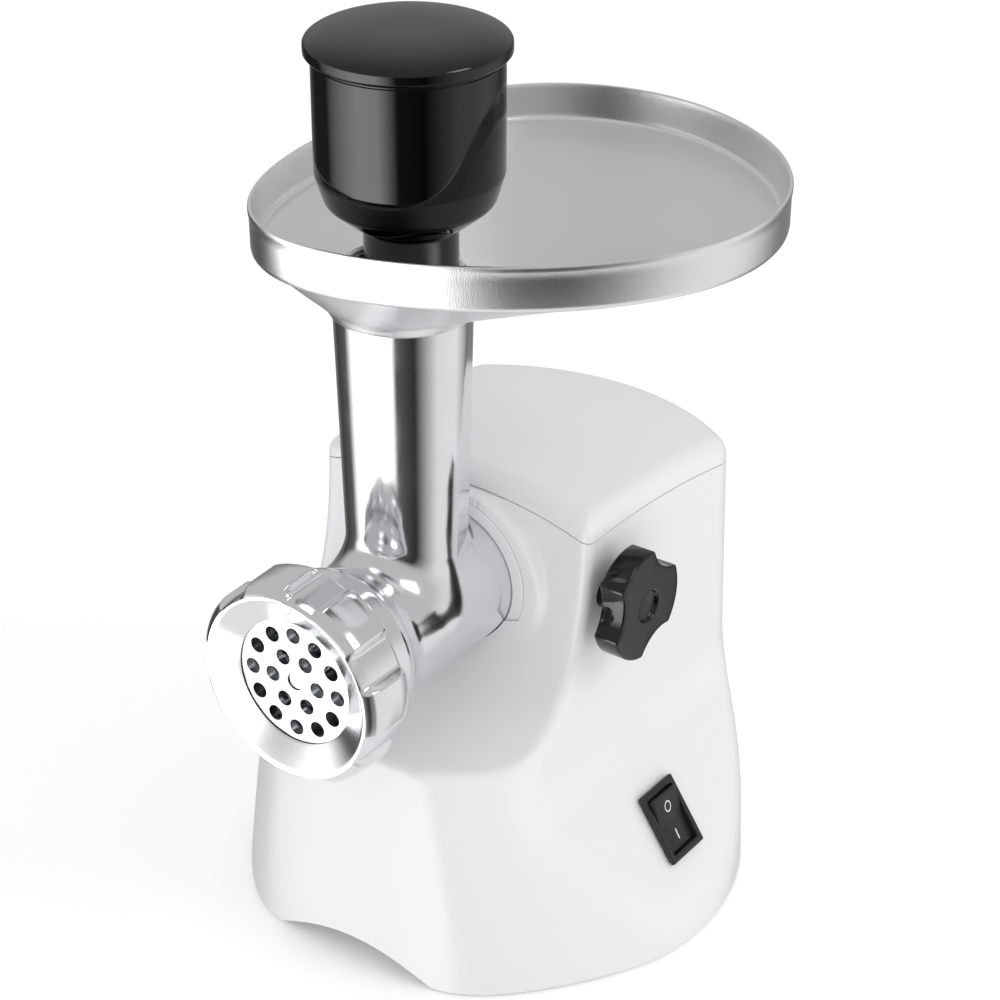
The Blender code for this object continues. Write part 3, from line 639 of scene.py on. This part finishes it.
class GRINDER_OT_cover(bpy.types.Operator):
    """Add the domed top cover above the seam"""
    bl_idname = "grinder.cover"
    bl_label = "Top cover"

    def execute(self, context):
        sizes = context.scene.grinder_body
        wall = sizes.wall / MM
        form = BodyForm(sizes.edge / MM, sizes.roof_edge / MM)
        around = turns(440)
        top = np.full(around.shape, math.radians(89.7))
        high = form.ring_angles(around, 0.0, 1.0, SEAM_R + SEAM_HALF)[1]
        rings = form.rows(around, top, high, 70, 0.0)
        high = form.ring_angles(around, wall, 1.0, SEAM_R + SEAM_HALF)[1]
        rings += form.rows(around, high, top, 16, wall)
        cover = skinned("cover", rings)
        settled(cover, "base", "white_plastic", "white", "top_cover", angle=40.0)
        return {"FINISHED"}


class GRINDER_OT_collar(bpy.types.Operator):
    """Add the outlet collar that holds the head's barrel"""
    bl_idname = "grinder.collar"
    bl_label = "Outlet collar"

    def execute(self, context):
        profile = rounded([
            (30.42, 45.0), (30.42, 30.0, 0.9), (36.1, 30.0, 0.5),
            (36.1, 55.7), (30.42, 55.7), (30.42, 45.2),
        ])
        collar = spun("collar", profile, "Y", BARREL_AT, 160)
        carved(collar, cylinder("collar_hole", 4.1, 20.0, 60.0, "X", KNOB_AT, 32))
        settled(collar, "base", "white_plastic", "white", "outlet_collar")
        return {"FINISHED"}


# ---------------------------------------------------------------- the head

def head_field(p):
    """Barrel and feed tube as one casting with a fillet between them."""
    x = p[..., 0]
    y = p[..., 1]
    z = p[..., 2]
    radius = np.interp(y, (-71.0, -45.0, -43.5, -41.0, -38.0, -35.0, -31.5, 60.0),
                       (35.3, 35.3, 35.1, 34.0, 32.0, 30.9, 30.3, 30.3))
    barrel = np.hypot(x, z - BARREL_Z) - radius
    barrel = meet(barrel, np.maximum(y - BARREL_BACK, BARREL_FRONT - y), 0.8)
    radius = np.interp(z, (150.0, 190.0, 288.0, 305.0), (24.6, 24.8, 27.4, 27.4))
    tube = np.hypot(x, y) - radius
    strip = (x * 0.94 + y * 0.34) - np.interp(z, (185.0, 288.0), (23.2, 27.2))
    tube = np.maximum(tube, strip)
    tube = meet(tube, np.maximum(z - TUBE_TOP, 150.0 - z), 0.8)
    return merge(barrel, tube, 9.0)


def drawn_onto(piece, field, rounds=6):
    """Moves every point of a mesh onto the zero level of a field given in millimetres."""
    data = piece.data
    flat = np.empty(len(data.vertices) * 3)
    data.vertices.foreach_get("co", flat)
    p = flat.reshape(-1, 3) / MM
    small = 0.05
    for _ in range(rounds):
        here = field(p)
        slope = np.stack([
            (field(p + small * axis) - field(p - small * axis)) / (2 * small) for axis in np.eye(3)
        ], -1)
        length = np.maximum((slope ** 2).sum(-1, keepdims=True), 0.05)
        p = p - slope / length * np.clip(here, -1.0, 1.0)[:, None]
    data.vertices.foreach_set("co", (p * MM).ravel())
    data.update()


class GRINDER_OT_head(bpy.types.Operator):
    """Add the cast head: barrel, feed tube and the fillet between them"""
    bl_idname = "grinder.head"
    bl_label = "Head casting"

    def execute(self, context):
        rough = cylinder("head", 32.5, BARREL_FRONT, BARREL_BACK, "Y", BARREL_AT)
        carved(rough, cylinder("tube", 26.5, BARREL_Z, TUBE_TOP, "Z", (0.0, 0.0, 0.0)), "UNION")
        applied(rough, "REMESH", mode="VOXEL", voxel_size=0.00115)
        drawn_onto(rough, head_field)
        inside = rounded([
            (0.0, -90.0), (31.1, -90.0), (31.1, -62.5), (26.2, -60.0),
            (26.2, 48.0), (9.1, 48.0), (9.1, 70.0), (0.0, 70.0),
        ])
        carved(rough, spun("barrel_bore", inside, "Y", BARREL_AT, 96))
        carved(rough, cylinder("tube_bore", 22.5, BARREL_Z, 320.0, "Z", (0.0, 0.0, 0.0)))
        settled(rough, "head", "polished_aluminium", "cast", "head_casting", angle=40.0)
        return {"FINISHED"}


# The screw ring in pairs of Y and radius: between the lobes, on the lobes, and inside.
RING_TURN = math.radians(53.3)
RING_VALLEY = ((-80.3, 38.9), (-79.8, 39.4), (-78.8, 39.9), (-76.0, 40.5),
               (-57.6, 40.9), (-56.5, 40.3), (-56.0, 39.1))
RING_CREST = ((-80.3, 39.3), (-79.9, 40.0), (-79.2, 41.0), (-77.0, 42.7), (-73.0, 43.6),
              (-59.0, 43.9), (-57.2, 42.9), (-56.4, 41.0), (-56.0, 39.3))
RING_INSIDE = ((-56.0, 35.7), (-57.0, 35.6), (-70.8, 35.6), (-71.0, 31.4), (-74.3, 31.4), (-74.3, 27.2),
               (-74.5, 27.0), (-75.2, 28.2), (-79.5, 36.6), (-80.0, 37.5), (-80.25, 38.1))
RING_OUTSIDE = (-80.3, -80.1, -79.8, -79.4, -78.9, -78.3, -77.6, -76.9, -76.0, -74.5, -73.0, -68.0,
                -63.0, -59.0, -58.2, -57.6, -57.1, -56.7, -56.3, -56.0)


def ring_radius(angle, y, lobes):
    """The screw ring's outside: broad lobes with a narrow scoop between each pair."""
    wave = np.cos(lobes * (angle - RING_TURN))
    grip = np.clip(0.95 + 1.7 * wave, 0.0, 1.0)
    grip = grip * grip * (3 - 2 * grip)
    valley = np.interp(y, *zip(*RING_VALLEY))
    crest = np.interp(y, *zip(*RING_CREST))
    line = np.clip(1.0 - np.abs(wave + 0.3) / 0.07, 0.0, 1.0)
    return valley + (crest - valley) * grip + 0.3 * line * np.clip((y + 79.0) / 2.0, 0.0, 1.0)


class GRINDER_OT_ring(bpy.types.Operator):
    """Add the lobed screw ring with its threaded bore"""
    bl_idname = "grinder.ring"
    bl_label = "Screw ring"

    def execute(self, context):
        lobes = context.scene.grinder_head.lobes
        angle = turns(560)
        rings = [self.circle(angle, radius, y) for y, radius in RING_INSIDE]
        rings += [self.circle(angle, ring_radius(angle, y, lobes), y) for y in RING_OUTSIDE]
        ring = skinned("ring", rings, closed=True)
        settled(ring, "ring", "polished_aluminium", "cast", "screw_ring", angle=32.0)
        return {"FINISHED"}

    @staticmethod
    def circle(angle, radius, y):
        height = BARREL_Z + radius * np.sin(angle)
        return np.stack((radius * np.cos(angle), np.full(len(angle), y), height), -1)


SCREEN_ROWS = ((11.0, 6), (21.0, 12))
SCREEN_HOLE_R = 3.4


class GRINDER_OT_screen(bpy.types.Operator):
    """Add the screen plate with its eased holes"""
    bl_idname = "grinder.screen"
    bl_label = "Screen plate"

    def execute(self, context):
        profile = rounded([(0.0, -74.0), (30.9, -74.0, 0.4), (30.9, -69.5, 0.4), (0.0, -69.5)], 2)
        plate = spun("screen", profile, "Y", BARREL_AT, 96)
        carved(plate, cylinder("pin_hole", 3.75, -80.0, -60.0, "Y", BARREL_AT, 32))
        for reach, count in SCREEN_ROWS:
            for k in range(count):
                angle = math.tau * k / count
                spot = (reach * math.cos(angle), 0.0, BARREL_Z + reach * math.sin(angle))
                carved(plate, cylinder("hole", SCREEN_HOLE_R, -80.0, -60.0, "Y", spot, 32))
        applied(plate, "BEVEL", width=0.00025, segments=2, limit_method="ANGLE")
        settled(plate, "screen", "steel", "steel", "screen_plate")
        return {"FINISHED"}


# ---------------------------------------------------------------- tray and pusher

TRAY_TURN = math.radians(29.08)
TRAY_HALF_WIDTH = 89.6
TRAY_HALF_LENGTH = 107.0
TRAY_MIDDLE = 48.25
TRAY_EGG = 0.2035
# Down the tray's outside, round its hub, and up its inside. Outlines are pairs of inset and Z,
# circles are pairs of radius and Z, and funnels are a share of the outline, inset and Z.
TRAY_OUTSIDE = ((0.55, 333.8), (0.2, 333.6), (0.0, 333.1), (0.05, 331.6), (0.35, 330.9), (0.45, 328.0),
                (0.55, 317.6), (0.85, 316.2), (1.6, 315.2), (2.8, 314.6), (4.2, 314.3))
TRAY_UNDERSIDE = ((0.93, 4.4, 312.6), (0.8, 4.4, 309.6), (0.5, 4.2, 302.6), (0.25, 4.0, 297.0),
                  (0.1, 4.0, 293.4))
TRAY_HUB = ((30.6, 292.0), (30.0, 290.6), (29.6, 289.4), (29.0, 288.3), (28.5, 288.0), (27.9, 288.1),
            (27.6, 288.5), (27.6, 303.3), (23.6, 303.3), (23.7, 304.2), (24.6, 305.2))
TRAY_FLOOR = ((0.2, 7.0, 306.6), (0.5, 6.4, 310.4), (0.8, 6.2, 315.2), (0.97, 6.0, 318.0))
TRAY_INSIDE = ((5.9, 318.5), (4.9, 318.55), (4.0, 318.8), (3.2, 319.5), (2.7, 320.6), (2.5, 322.0),
               (2.1, 330.8), (1.9, 331.6), (1.75, 333.1), (1.5, 333.6), (1.1, 333.8))


def tray_outline(inset, z, count=240):
    """The tray's egg-shaped outline, shrunk by inset along its normals."""
    t = turns(count)
    x = TRAY_HALF_WIDTH * np.cos(t) * (1 + TRAY_EGG * np.sin(t))
    y = TRAY_MIDDLE + TRAY_HALF_LENGTH * np.sin(t)
    dx = TRAY_HALF_WIDTH * (-np.sin(t) * (1 + TRAY_EGG * np.sin(t)) + TRAY_EGG * np.cos(t) ** 2)
    dy = TRAY_HALF_LENGTH * np.cos(t)
    length = np.hypot(dx, dy)
    x = x - inset * dy / length
    y = y + inset * dx / length
    c = math.cos(TRAY_TURN)
    s = math.sin(TRAY_TURN)
    return np.stack((x * c + y * s, -x * s + y * c, np.full(count, float(z))), -1)


def tray_circle(radius, z):
    ring = tray_outline(0.0, z)
    length = np.hypot(ring[:, 0], ring[:, 1])[:, None]
    ring[:, :2] = ring[:, :2] / length * radius
    return ring


def tray_between(share, radius, inset, z):
    return tray_outline(inset, z) * share + tray_circle(radius, z) * (1 - share)


class GRINDER_OT_tray(bpy.types.Operator):
    """Add the egg-shaped tray with its lip, its funnel and the hub on the feed tube"""
    bl_idname = "grinder.tray"
    bl_label = "Tray"

    def execute(self, context):
        rings = [tray_outline(inset, z) for inset, z in TRAY_OUTSIDE]
        rings += [tray_between(share, 30.0, inset, z) for share, inset, z in TRAY_UNDERSIDE]
        rings += [tray_circle(radius, z) for radius, z in TRAY_HUB]
        rings += [tray_between(share, 26.0, inset, z) for share, inset, z in TRAY_FLOOR]
        rings += [tray_outline(inset, z) for inset, z in TRAY_INSIDE]
        tray = skinned("tray_pan", rings, closed=True)
        settled(tray, "tray", "brushed_aluminium", "sheet", "tray", angle=32.0)
        return {"FINISHED"}


LID_R = 39.1
LID_BASE = 395.4
LID_DOME = 6.0


class GRINDER_OT_pusher(bpy.types.Operator):
    """Add the hollow pusher and its lid"""
    bl_idname = "grinder.pusher"
    bl_label = "Pusher and lid"

    def execute(self, context):
        radius = context.scene.grinder_pusher.radius / MM
        profile = rounded([
            (0.0, 200.0), (18.4, 200.0, 1.6), (18.4, 323.0, 3.0), (24.5, 326.4, 3.0), (33.0, 333.5, 7.0),
            (radius, 345.0, 6.0), (radius, 389.6, 0.2), (radius - 0.35, 389.9, 0.2),
            (radius - 0.35, 390.4, 0.2), (radius, 390.7, 0.2), (radius, 395.0, 0.6),
            (radius - 2.0, 395.0, 0.6), (radius - 2.0, 346.0, 6.0), (31.4, 335.5, 6.0),
            (22.0, 328.0, 3.0), (16.4, 324.0, 3.0), (16.4, 202.5, 1.0), (0.0, 202.5),
        ])
        cup = spun("pusher_body", profile, "Z", PUSHER_AT, 160)
        settled(cup, "pusher", "black_gloss", "black", "pusher_cup")
        profile = rounded([
            (0.0, 395.3), (36.8, 395.3, 0.3), (36.8, 391.2, 0.3), (38.0, 391.2, 0.5),
            (LID_R, 392.4, 0.9), (LID_R, 395.3),
        ])
        for part in np.linspace(0.02, 1.0, 26):
            reach = LID_R * (1.0 - part ** 1.6)
            profile.append((reach, LID_BASE + LID_DOME * math.sqrt(1.0 - (reach / LID_R) ** 3.2)))
        lid = spun("pusher_cap", profile, "Z", PUSHER_AT, 160)
        settled(lid, "lid", "black_gloss", "black", "pusher_lid", angle=50.0)
        return {"FINISHED"}


# ---------------------------------------------------------------- knob and switch

KNOB_STEPS = 264
KNOB_LOBE_R = 23.5
KNOB_LOBE_TURN = math.radians(50.0)
KNOB_SCALLOP_R = 20.0
KNOB_SCALLOP_AT = 37.8
KNOB_EASE = 1.2
# The knob in order: its back, its lobed rim and its dished face, in pairs with X last.
KNOB_BACK = ((3.06, 60.3), (6.2, 60.3), (6.2, 75.4), (7.2, 76.0))
KNOB_RIM = ((1.1, 76.0), (0.5, 76.1), (0.1, 76.5), (0.0, 77.0), (0.0, 86.2), (0.15, 86.7), (0.5, 87.05),
            (1.0, 87.2), (4.0, 87.5))
KNOB_DISH = ((8.6, 88.0), (7.6, 88.0), (7.1, 87.8), (6.8, 87.3), (6.5, 86.5), (5.9, 86.1), (3.0, 86.0),
             (0.2, 86.0))


def knob_outline(inset, x):
    """Three broad lobes with a shallow scallop between each pair."""
    third = math.tau / 3
    turn = (turns(KNOB_STEPS) - KNOB_LOBE_TURN + third / 2) % third - third / 2
    inside = KNOB_SCALLOP_R ** 2 - (KNOB_SCALLOP_AT * np.sin(turn)) ** 2
    scallop = KNOB_SCALLOP_AT * np.cos(turn) - np.sqrt(np.maximum(inside, 0.0))
    scallop = np.where(inside > 0.0, scallop, 60.0)
    gap = np.maximum(0.0, KNOB_EASE - np.abs(scallop - KNOB_LOBE_R)) ** 2 / (4 * KNOB_EASE)
    return knob_ring(np.minimum(scallop, KNOB_LOBE_R) - gap - inset, x)


def knob_ring(radius, x):
    angle = turns(KNOB_STEPS)
    y = KNOB_AT[1] + radius * np.cos(angle)
    z = KNOB_AT[2] + radius * np.sin(angle)
    return np.stack((np.full(KNOB_STEPS, float(x)), y, z), -1)


class GRINDER_OT_knob(bpy.types.Operator):
    """Add the lobed clamp knob with its dished boss"""
    bl_idname = "grinder.knob"
    bl_label = "Clamp knob"

    def execute(self, context):
        rings = [knob_ring(radius, x) for radius, x in KNOB_BACK]
        rings += [knob_outline(inset, x) for inset, x in KNOB_RIM]
        rings += [knob_ring(radius, x) for radius, x in KNOB_DISH]
        knob = skinned("knob", rings)
        carved(knob, cylinder("socket", 3.06, 50.0, 66.0, "X", KNOB_AT, 48))
        settled(knob, "knob", "black_gloss", "black", "lock_knob", angle=38.0)
        return {"FINISHED"}


def switch_frame():
    """The switch's own frame on the sloping flank: Y down the slope, Z out of it."""
    out = Vector((SHOULDER[0], 0.0, SHOULDER[1])).normalized()
    down = Vector((out.z, 0.0, -out.x))
    side = down.cross(out)
    turn = Matrix((side, down, out)).transposed().to_4x4()
    return Matrix.Translation(Vector(SWITCH_AT) * MM) @ turn


ROCKER_TILT = math.radians(-10.0)
ROCKER_HALF = 12.6
ROCKER_LOW = 1.5
ROCKER_RISE = 1.4
ROCKER_POWER = 1.3
MARK_Y = 6.6


def rocker_face(y):
    """Height of the rocker's two dished faces at a place along it."""
    return ROCKER_LOW + ROCKER_RISE * (abs(y) / ROCKER_HALF) ** ROCKER_POWER


class GRINDER_OT_switch(bpy.types.Operator):
    """Add the rocker switch: frame, rocker and its two marks"""
    bl_idname = "grinder.switch"
    bl_label = "Rocker switch"

    def execute(self, context):
        frame_place = switch_frame()
        body = brick("switch_frame", (-12.0, -16.25, 0.3), (12.0, 16.25, 2.6), None, 0.8)
        carved(body, brick("back", (-10.7, -14.9, -16.0), (10.7, 14.9, 1.5)), "UNION")
        carved(body, brick("pocket", (-9.2, -13.2, -9.0), (9.2, 13.2, 9.0), None, 0.5))
        applied(body, "BEVEL", width=0.0003, segments=2, limit_method="ANGLE",
                angle_limit=math.radians(50.0))
        body.data.transform(frame_place)
        settled(body, "base", "black_switch", "switch", "switch_body")
        tilted = frame_place @ Matrix.Rotation(ROCKER_TILT, 4, "X")
        self.rocker(tilted)
        self.marks(tilted)
        return {"FINISHED"}

    def rocker(self, place):
        outline = [(-ROCKER_HALF, -4.0), (-9.0, -6.0), (9.0, -6.0), (ROCKER_HALF, -4.0)]
        outline += [(y, rocker_face(y)) for y in np.linspace(ROCKER_HALF, -ROCKER_HALF, 29)]
        rings = []
        for x, inset in ((-8.8, 0.5), (-8.65, 0.2), (-8.3, 0.0), (8.3, 0.0), (8.65, 0.2), (8.8, 0.5)):
            ring = []
            for y, z in outline:
                ring.append((x, y * (1 - inset / ROCKER_HALF), z - (inset if z > 0 else -inset)))
            rings.append(ring)
        rocker = skinned("rocker", rings)
        applied(rocker, "BEVEL", width=0.0004, segments=2, limit_method="ANGLE",
                angle_limit=math.radians(45.0))
        rocker.data.transform(place)
        settled(rocker, "rocker", "black_switch", "switch", "switch_rocker")

    def marks(self, place):
        lift = rocker_face(MARK_Y) + 0.02
        slope = ROCKER_RISE * ROCKER_POWER * (MARK_Y / ROCKER_HALF) ** (ROCKER_POWER - 1.0)
        lean = math.atan2(slope, ROCKER_HALF)
        spot = Matrix.Translation(Vector((0.0, -MARK_Y, lift)) * MM) @ Matrix.Rotation(-lean, 4, "X")
        nothing_selected()
        bpy.ops.mesh.primitive_torus_add(major_radius=2.3 * MM, minor_radius=0.32 * MM,
                                         major_segments=48, minor_segments=10)
        circle = bpy.context.object
        circle.name = "mark_off"
        circle.data.transform(Matrix.Diagonal((0.85, 1.0, 0.35, 1.0)))
        circle.data.transform(place @ spot)
        settled(circle, "rocker", "black_switch", "mark")
        spot = Matrix.Translation(Vector((0.0, MARK_Y, lift)) * MM) @ Matrix.Rotation(lean, 4, "X")
        bar = brick("mark_on", (-0.34, -2.4, -0.12), (0.34, 2.4, 0.12), None, 0.1)
        bar.data.transform(place @ spot)
        settled(bar, "rocker", "black_switch", "mark")


# ---------------------------------------------------------------- parts kept from the frame

KEPT = {
    "steel": ("foot_screw_front_left", "foot_screw_front_right", "foot_screw_rear_left",
              "foot_screw_rear_right", "motor_can", "motor_end_bridge", "motor_shaft", "motor_pinion",
              "intermediate_shaft", "intermediate_pinion", "output_shaft", "knife", "clamp_plunger"),
    "rubber": ("foot_front_left", "foot_front_right", "foot_rear_left", "foot_rear_right"),
    "grey": ("base_plate", "gearbox_case", "gearbox_cover", "motor_cradle", "motor_fan"),
    "winding": ("motor_field", "motor_armature"),
    "nylon": ("intermediate_wheel", "output_gear", "auger_bush"),
    "cast": ("auger",),
}


class GRINDER_OT_inner_parts(bpy.types.Operator):
    """Give the parts that keep the frame's own shape their materials"""
    bl_idname = "grinder.inner_parts"
    bl_label = "Inner parts"

    def execute(self, context):
        for look, names in KEPT.items():
            for name in names:
                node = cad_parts[name]
                for holder in node.material_slots:
                    holder.material = LOOKS[look]
        return {"FINISHED"}


# ---------------------------------------------------------------- stage

# What shiny surfaces see: a bright panel to the left of the camera and a wide pale one to its
# right, with dark between them, as degrees to the camera's right and how bright.
BAND_STRENGTH = 4.2
STUDIO_BANDS = (
    (-180.0, 0.35), (-140.0, 0.05), (-110.0, 0.1), (-75.0, 3.0), (-60.0, 4.2), (-36.0, 4.2),
    (-12.0, 0.1), (20.0, 0.02), (60.0, 0.8), (100.0, 0.85), (135.0, 0.15), (180.0, 0.35),
)
# How bright the other surfaces see the room, level with them and overhead.
SKY_LOW = 1.08
SKY_HIGH = 0.88
BANDS_OVERHEAD = 0.55
BANDS_FLOOR = 0.85
PAPER_GLOW = 0.16
# The key lamp is placed in metres from the middle of the frame, the camera from HOME.
KEY_AT = (1.5, 0.2, 1.45)
KEY_AIM = (0.0, 0.0, 0.15)
KEY_POWER = 6.0
KEY_SIZE = 0.7
VIEW_AT = (594.98, -781.49, 747.72)
VIEW_TILT = math.radians(60.95)
VIEW_TURN = math.radians(35.1)
VIEW_LENS = 100.886


class GRINDER_OT_stage(bpy.types.Operator):
    """Add the pale floor, the studio light and the camera"""
    bl_idname = "grinder.stage"
    bl_label = "Floor, light and camera"

    def execute(self, context):
        self.floor()
        self.light(context)
        self.camera(context)
        return {"FINISHED"}

    def floor(self):
        nothing_selected()
        bpy.ops.mesh.primitive_plane_add(size=9.0, location=(0.0, 0.0, -0.0002))
        ground = bpy.context.object
        ground.name = "floor"
        bpy.ops.object.transform_apply(location=True, rotation=True, scale=True)
        paper = finish_material(*PAPER)
        shader = paper.node_tree.nodes["Principled BSDF"]
        shader.inputs["Emission Color"].default_value = (1.0, 1.0, 1.0, 1.0)
        shader.inputs["Emission Strength"].default_value = PAPER_GLOW
        ground.data.materials.append(paper)
        ground.visible_glossy = False

    def light(self, context):
        world = bpy.data.worlds.new("studio")
        context.scene.world = world
        context.scene.view_settings.view_transform = "Standard"
        world.cycles.sampling_method = "NONE"
        world.use_nodes = True
        tree = world.node_tree
        background = tree.nodes["Background"]
        background.inputs["Color"].default_value = (1.0, 1.0, 1.0, 1.0)
        where = tree.nodes.new("ShaderNodeTexCoord").outputs["Generated"]
        rise = self.along(tree, where, (0.0, 0.0, 1.0))
        ahead = self.along(tree, where, (math.sin(VIEW_TURN), -math.cos(VIEW_TURN), 0.0))
        across = self.along(tree, where, (math.cos(VIEW_TURN), math.sin(VIEW_TURN), 0.0))
        turn = self.maths(tree, "ARCTAN2", across, ahead)
        bands = self.ramp(tree, self.spread(tree, turn, -math.pi, math.pi), STUDIO_BANDS)
        bright = self.maths(tree, "MULTIPLY", bands, BAND_STRENGTH)
        upper = self.spread(tree, rise, -0.12, 0.3, kind="SMOOTHSTEP")
        seen = self.blend(tree, upper, bright, BANDS_OVERHEAD)
        below = self.spread(tree, rise, -0.66, -0.84, kind="SMOOTHSTEP")
        seen = self.blend(tree, below, seen, BANDS_FLOOR)
        room = self.spread(tree, rise, 0.0, 1.0, SKY_LOW, SKY_HIGH)
        path = tree.nodes.new("ShaderNodeLightPath")
        first = self.maths(tree, "LESS_THAN", path.outputs["Diffuse Depth"], 0.5)
        direct = self.maths(tree, "MULTIPLY", path.outputs["Is Glossy Ray"], first)
        strength = self.blend(tree, direct, room, seen)
        strength = self.blend(tree, path.outputs["Is Camera Ray"], strength, 1.0)
        tree.links.new(strength, background.inputs["Strength"])
        self.key_lamp(context)

    def key_lamp(self, context):
        data = bpy.data.lights.new("key", "AREA")
        data.energy = KEY_POWER
        data.shape = "RECTANGLE"
        data.size = KEY_SIZE
        data.size_y = KEY_SIZE
        light = bpy.data.objects.new("key", data)
        light.location = KEY_AT
        light.rotation_euler = (Vector(KEY_AIM) - Vector(KEY_AT)).to_track_quat("-Z", "Y").to_euler()
        context.scene.collection.objects.link(light)

    @staticmethod
    def fed(tree, entry, value):
        """Sets an input to a number, or links it to another node's output."""
        if isinstance(value, float):
            entry.default_value = value
        else:
            tree.links.new(value, entry)

    @staticmethod
    def along(tree, where, way):
        dot = tree.nodes.new("ShaderNodeVectorMath")
        dot.operation = "DOT_PRODUCT"
        dot.inputs[1].default_value = way
        tree.links.new(where, dot.inputs[0])
        return dot.outputs["Value"]

    def maths(self, tree, operation, one, two):
        node = tree.nodes.new("ShaderNodeMath")
        node.operation = operation
        self.fed(tree, node.inputs[0], one)
        self.fed(tree, node.inputs[1], two)
        return node.outputs[0]

    @staticmethod
    def spread(tree, value, start, end, low=0.0, high=1.0, kind="LINEAR"):
        node = tree.nodes.new("ShaderNodeMapRange")
        node.interpolation_type = kind
        for name, level in zip(("From Min", "From Max", "To Min", "To Max"), (start, end, low, high)):
            node.inputs[name].default_value = level
        tree.links.new(value, node.inputs["Value"])
        return node.outputs["Result"]

    @staticmethod
    def ramp(tree, value, stops):
        node = tree.nodes.new("ShaderNodeValToRGB")
        elements = node.color_ramp.elements
        while len(elements) < len(stops):
            elements.new(0.5)
        for element, (turn, level) in zip(elements, stops):
            element.position = (turn + 180.0) / 360.0
            level = level / BAND_STRENGTH
            element.color = (level, level, level, 1.0)
        tree.links.new(value, node.inputs["Fac"])
        return node.outputs["Color"]

    def blend(self, tree, share, one, two):
        mix = tree.nodes.new("ShaderNodeMix")
        mix.data_type = "FLOAT"
        tree.links.new(share, mix.inputs["Factor"])
        self.fed(tree, mix.inputs["A"], one)
        self.fed(tree, mix.inputs["B"], two)
        return mix.outputs["Result"]

    def camera(self, context):
        data = bpy.data.cameras.new("camera")
        data.sensor_width = 36.0
        data.lens = VIEW_LENS
        view = bpy.data.objects.new("camera", data)
        view.location = HOME + Vector(VIEW_AT) * MM
        view.rotation_euler = (VIEW_TILT, 0.0, VIEW_TURN)
        context.scene.collection.objects.link(view)
        context.scene.camera = view


class GRINDER_PT_panel(bpy.types.Panel):
    """Lists the pieces of the grinder"""
    bl_label = "Grinder"
    bl_idname = "GRINDER_PT_panel"
    bl_space_type = "VIEW_3D"
    bl_region_type = "UI"
    bl_category = "Grinder"

    def draw(self, context):
        layout = self.layout
        for name in ("grinder_body", "grinder_head", "grinder_pusher"):
            group = getattr(context.scene, name)
            box = layout.box()
            for key in group.__annotations__:
                box.prop(group, key)
        for operator in OPERATORS:
            layout.operator(operator.bl_idname)


GROUP_TYPES = (BodySizes, HeadSizes, PusherSizes)
OPERATORS = (
    GRINDER_OT_stage, GRINDER_OT_housing, GRINDER_OT_cover, GRINDER_OT_collar, GRINDER_OT_head,
    GRINDER_OT_ring, GRINDER_OT_screen, GRINDER_OT_tray, GRINDER_OT_pusher, GRINDER_OT_knob,
    GRINDER_OT_switch, GRINDER_OT_inner_parts,
)


def register():
    for kind in GROUP_TYPES + OPERATORS + (GRINDER_PT_panel,):
        bpy.utils.register_class(kind)
    bpy.types.Scene.grinder_body = bpy.props.PointerProperty(type=BodySizes)
    bpy.types.Scene.grinder_head = bpy.props.PointerProperty(type=HeadSizes)
    bpy.types.Scene.grinder_pusher = bpy.props.PointerProperty(type=PusherSizes)


def unregister():
    del bpy.types.Scene.grinder_pusher
    del bpy.types.Scene.grinder_head
    del bpy.types.Scene.grinder_body
    for kind in reversed(GROUP_TYPES + OPERATORS + (GRINDER_PT_panel,)):
        bpy.utils.unregister_class(kind)


def main():
    register()
    build_groups()
    build_looks()
    bpy.ops.grinder.stage()
    bpy.ops.grinder.housing()
    bpy.ops.grinder.cover()
    bpy.ops.grinder.collar()
    bpy.ops.grinder.head()
    bpy.ops.grinder.ring()
    bpy.ops.grinder.screen()
    bpy.ops.grinder.tray()
    bpy.ops.grinder.pusher()
    bpy.ops.grinder.knob()
    bpy.ops.grinder.switch()
    bpy.ops.grinder.inner_parts()


if __name__ == "__main__":
    main()
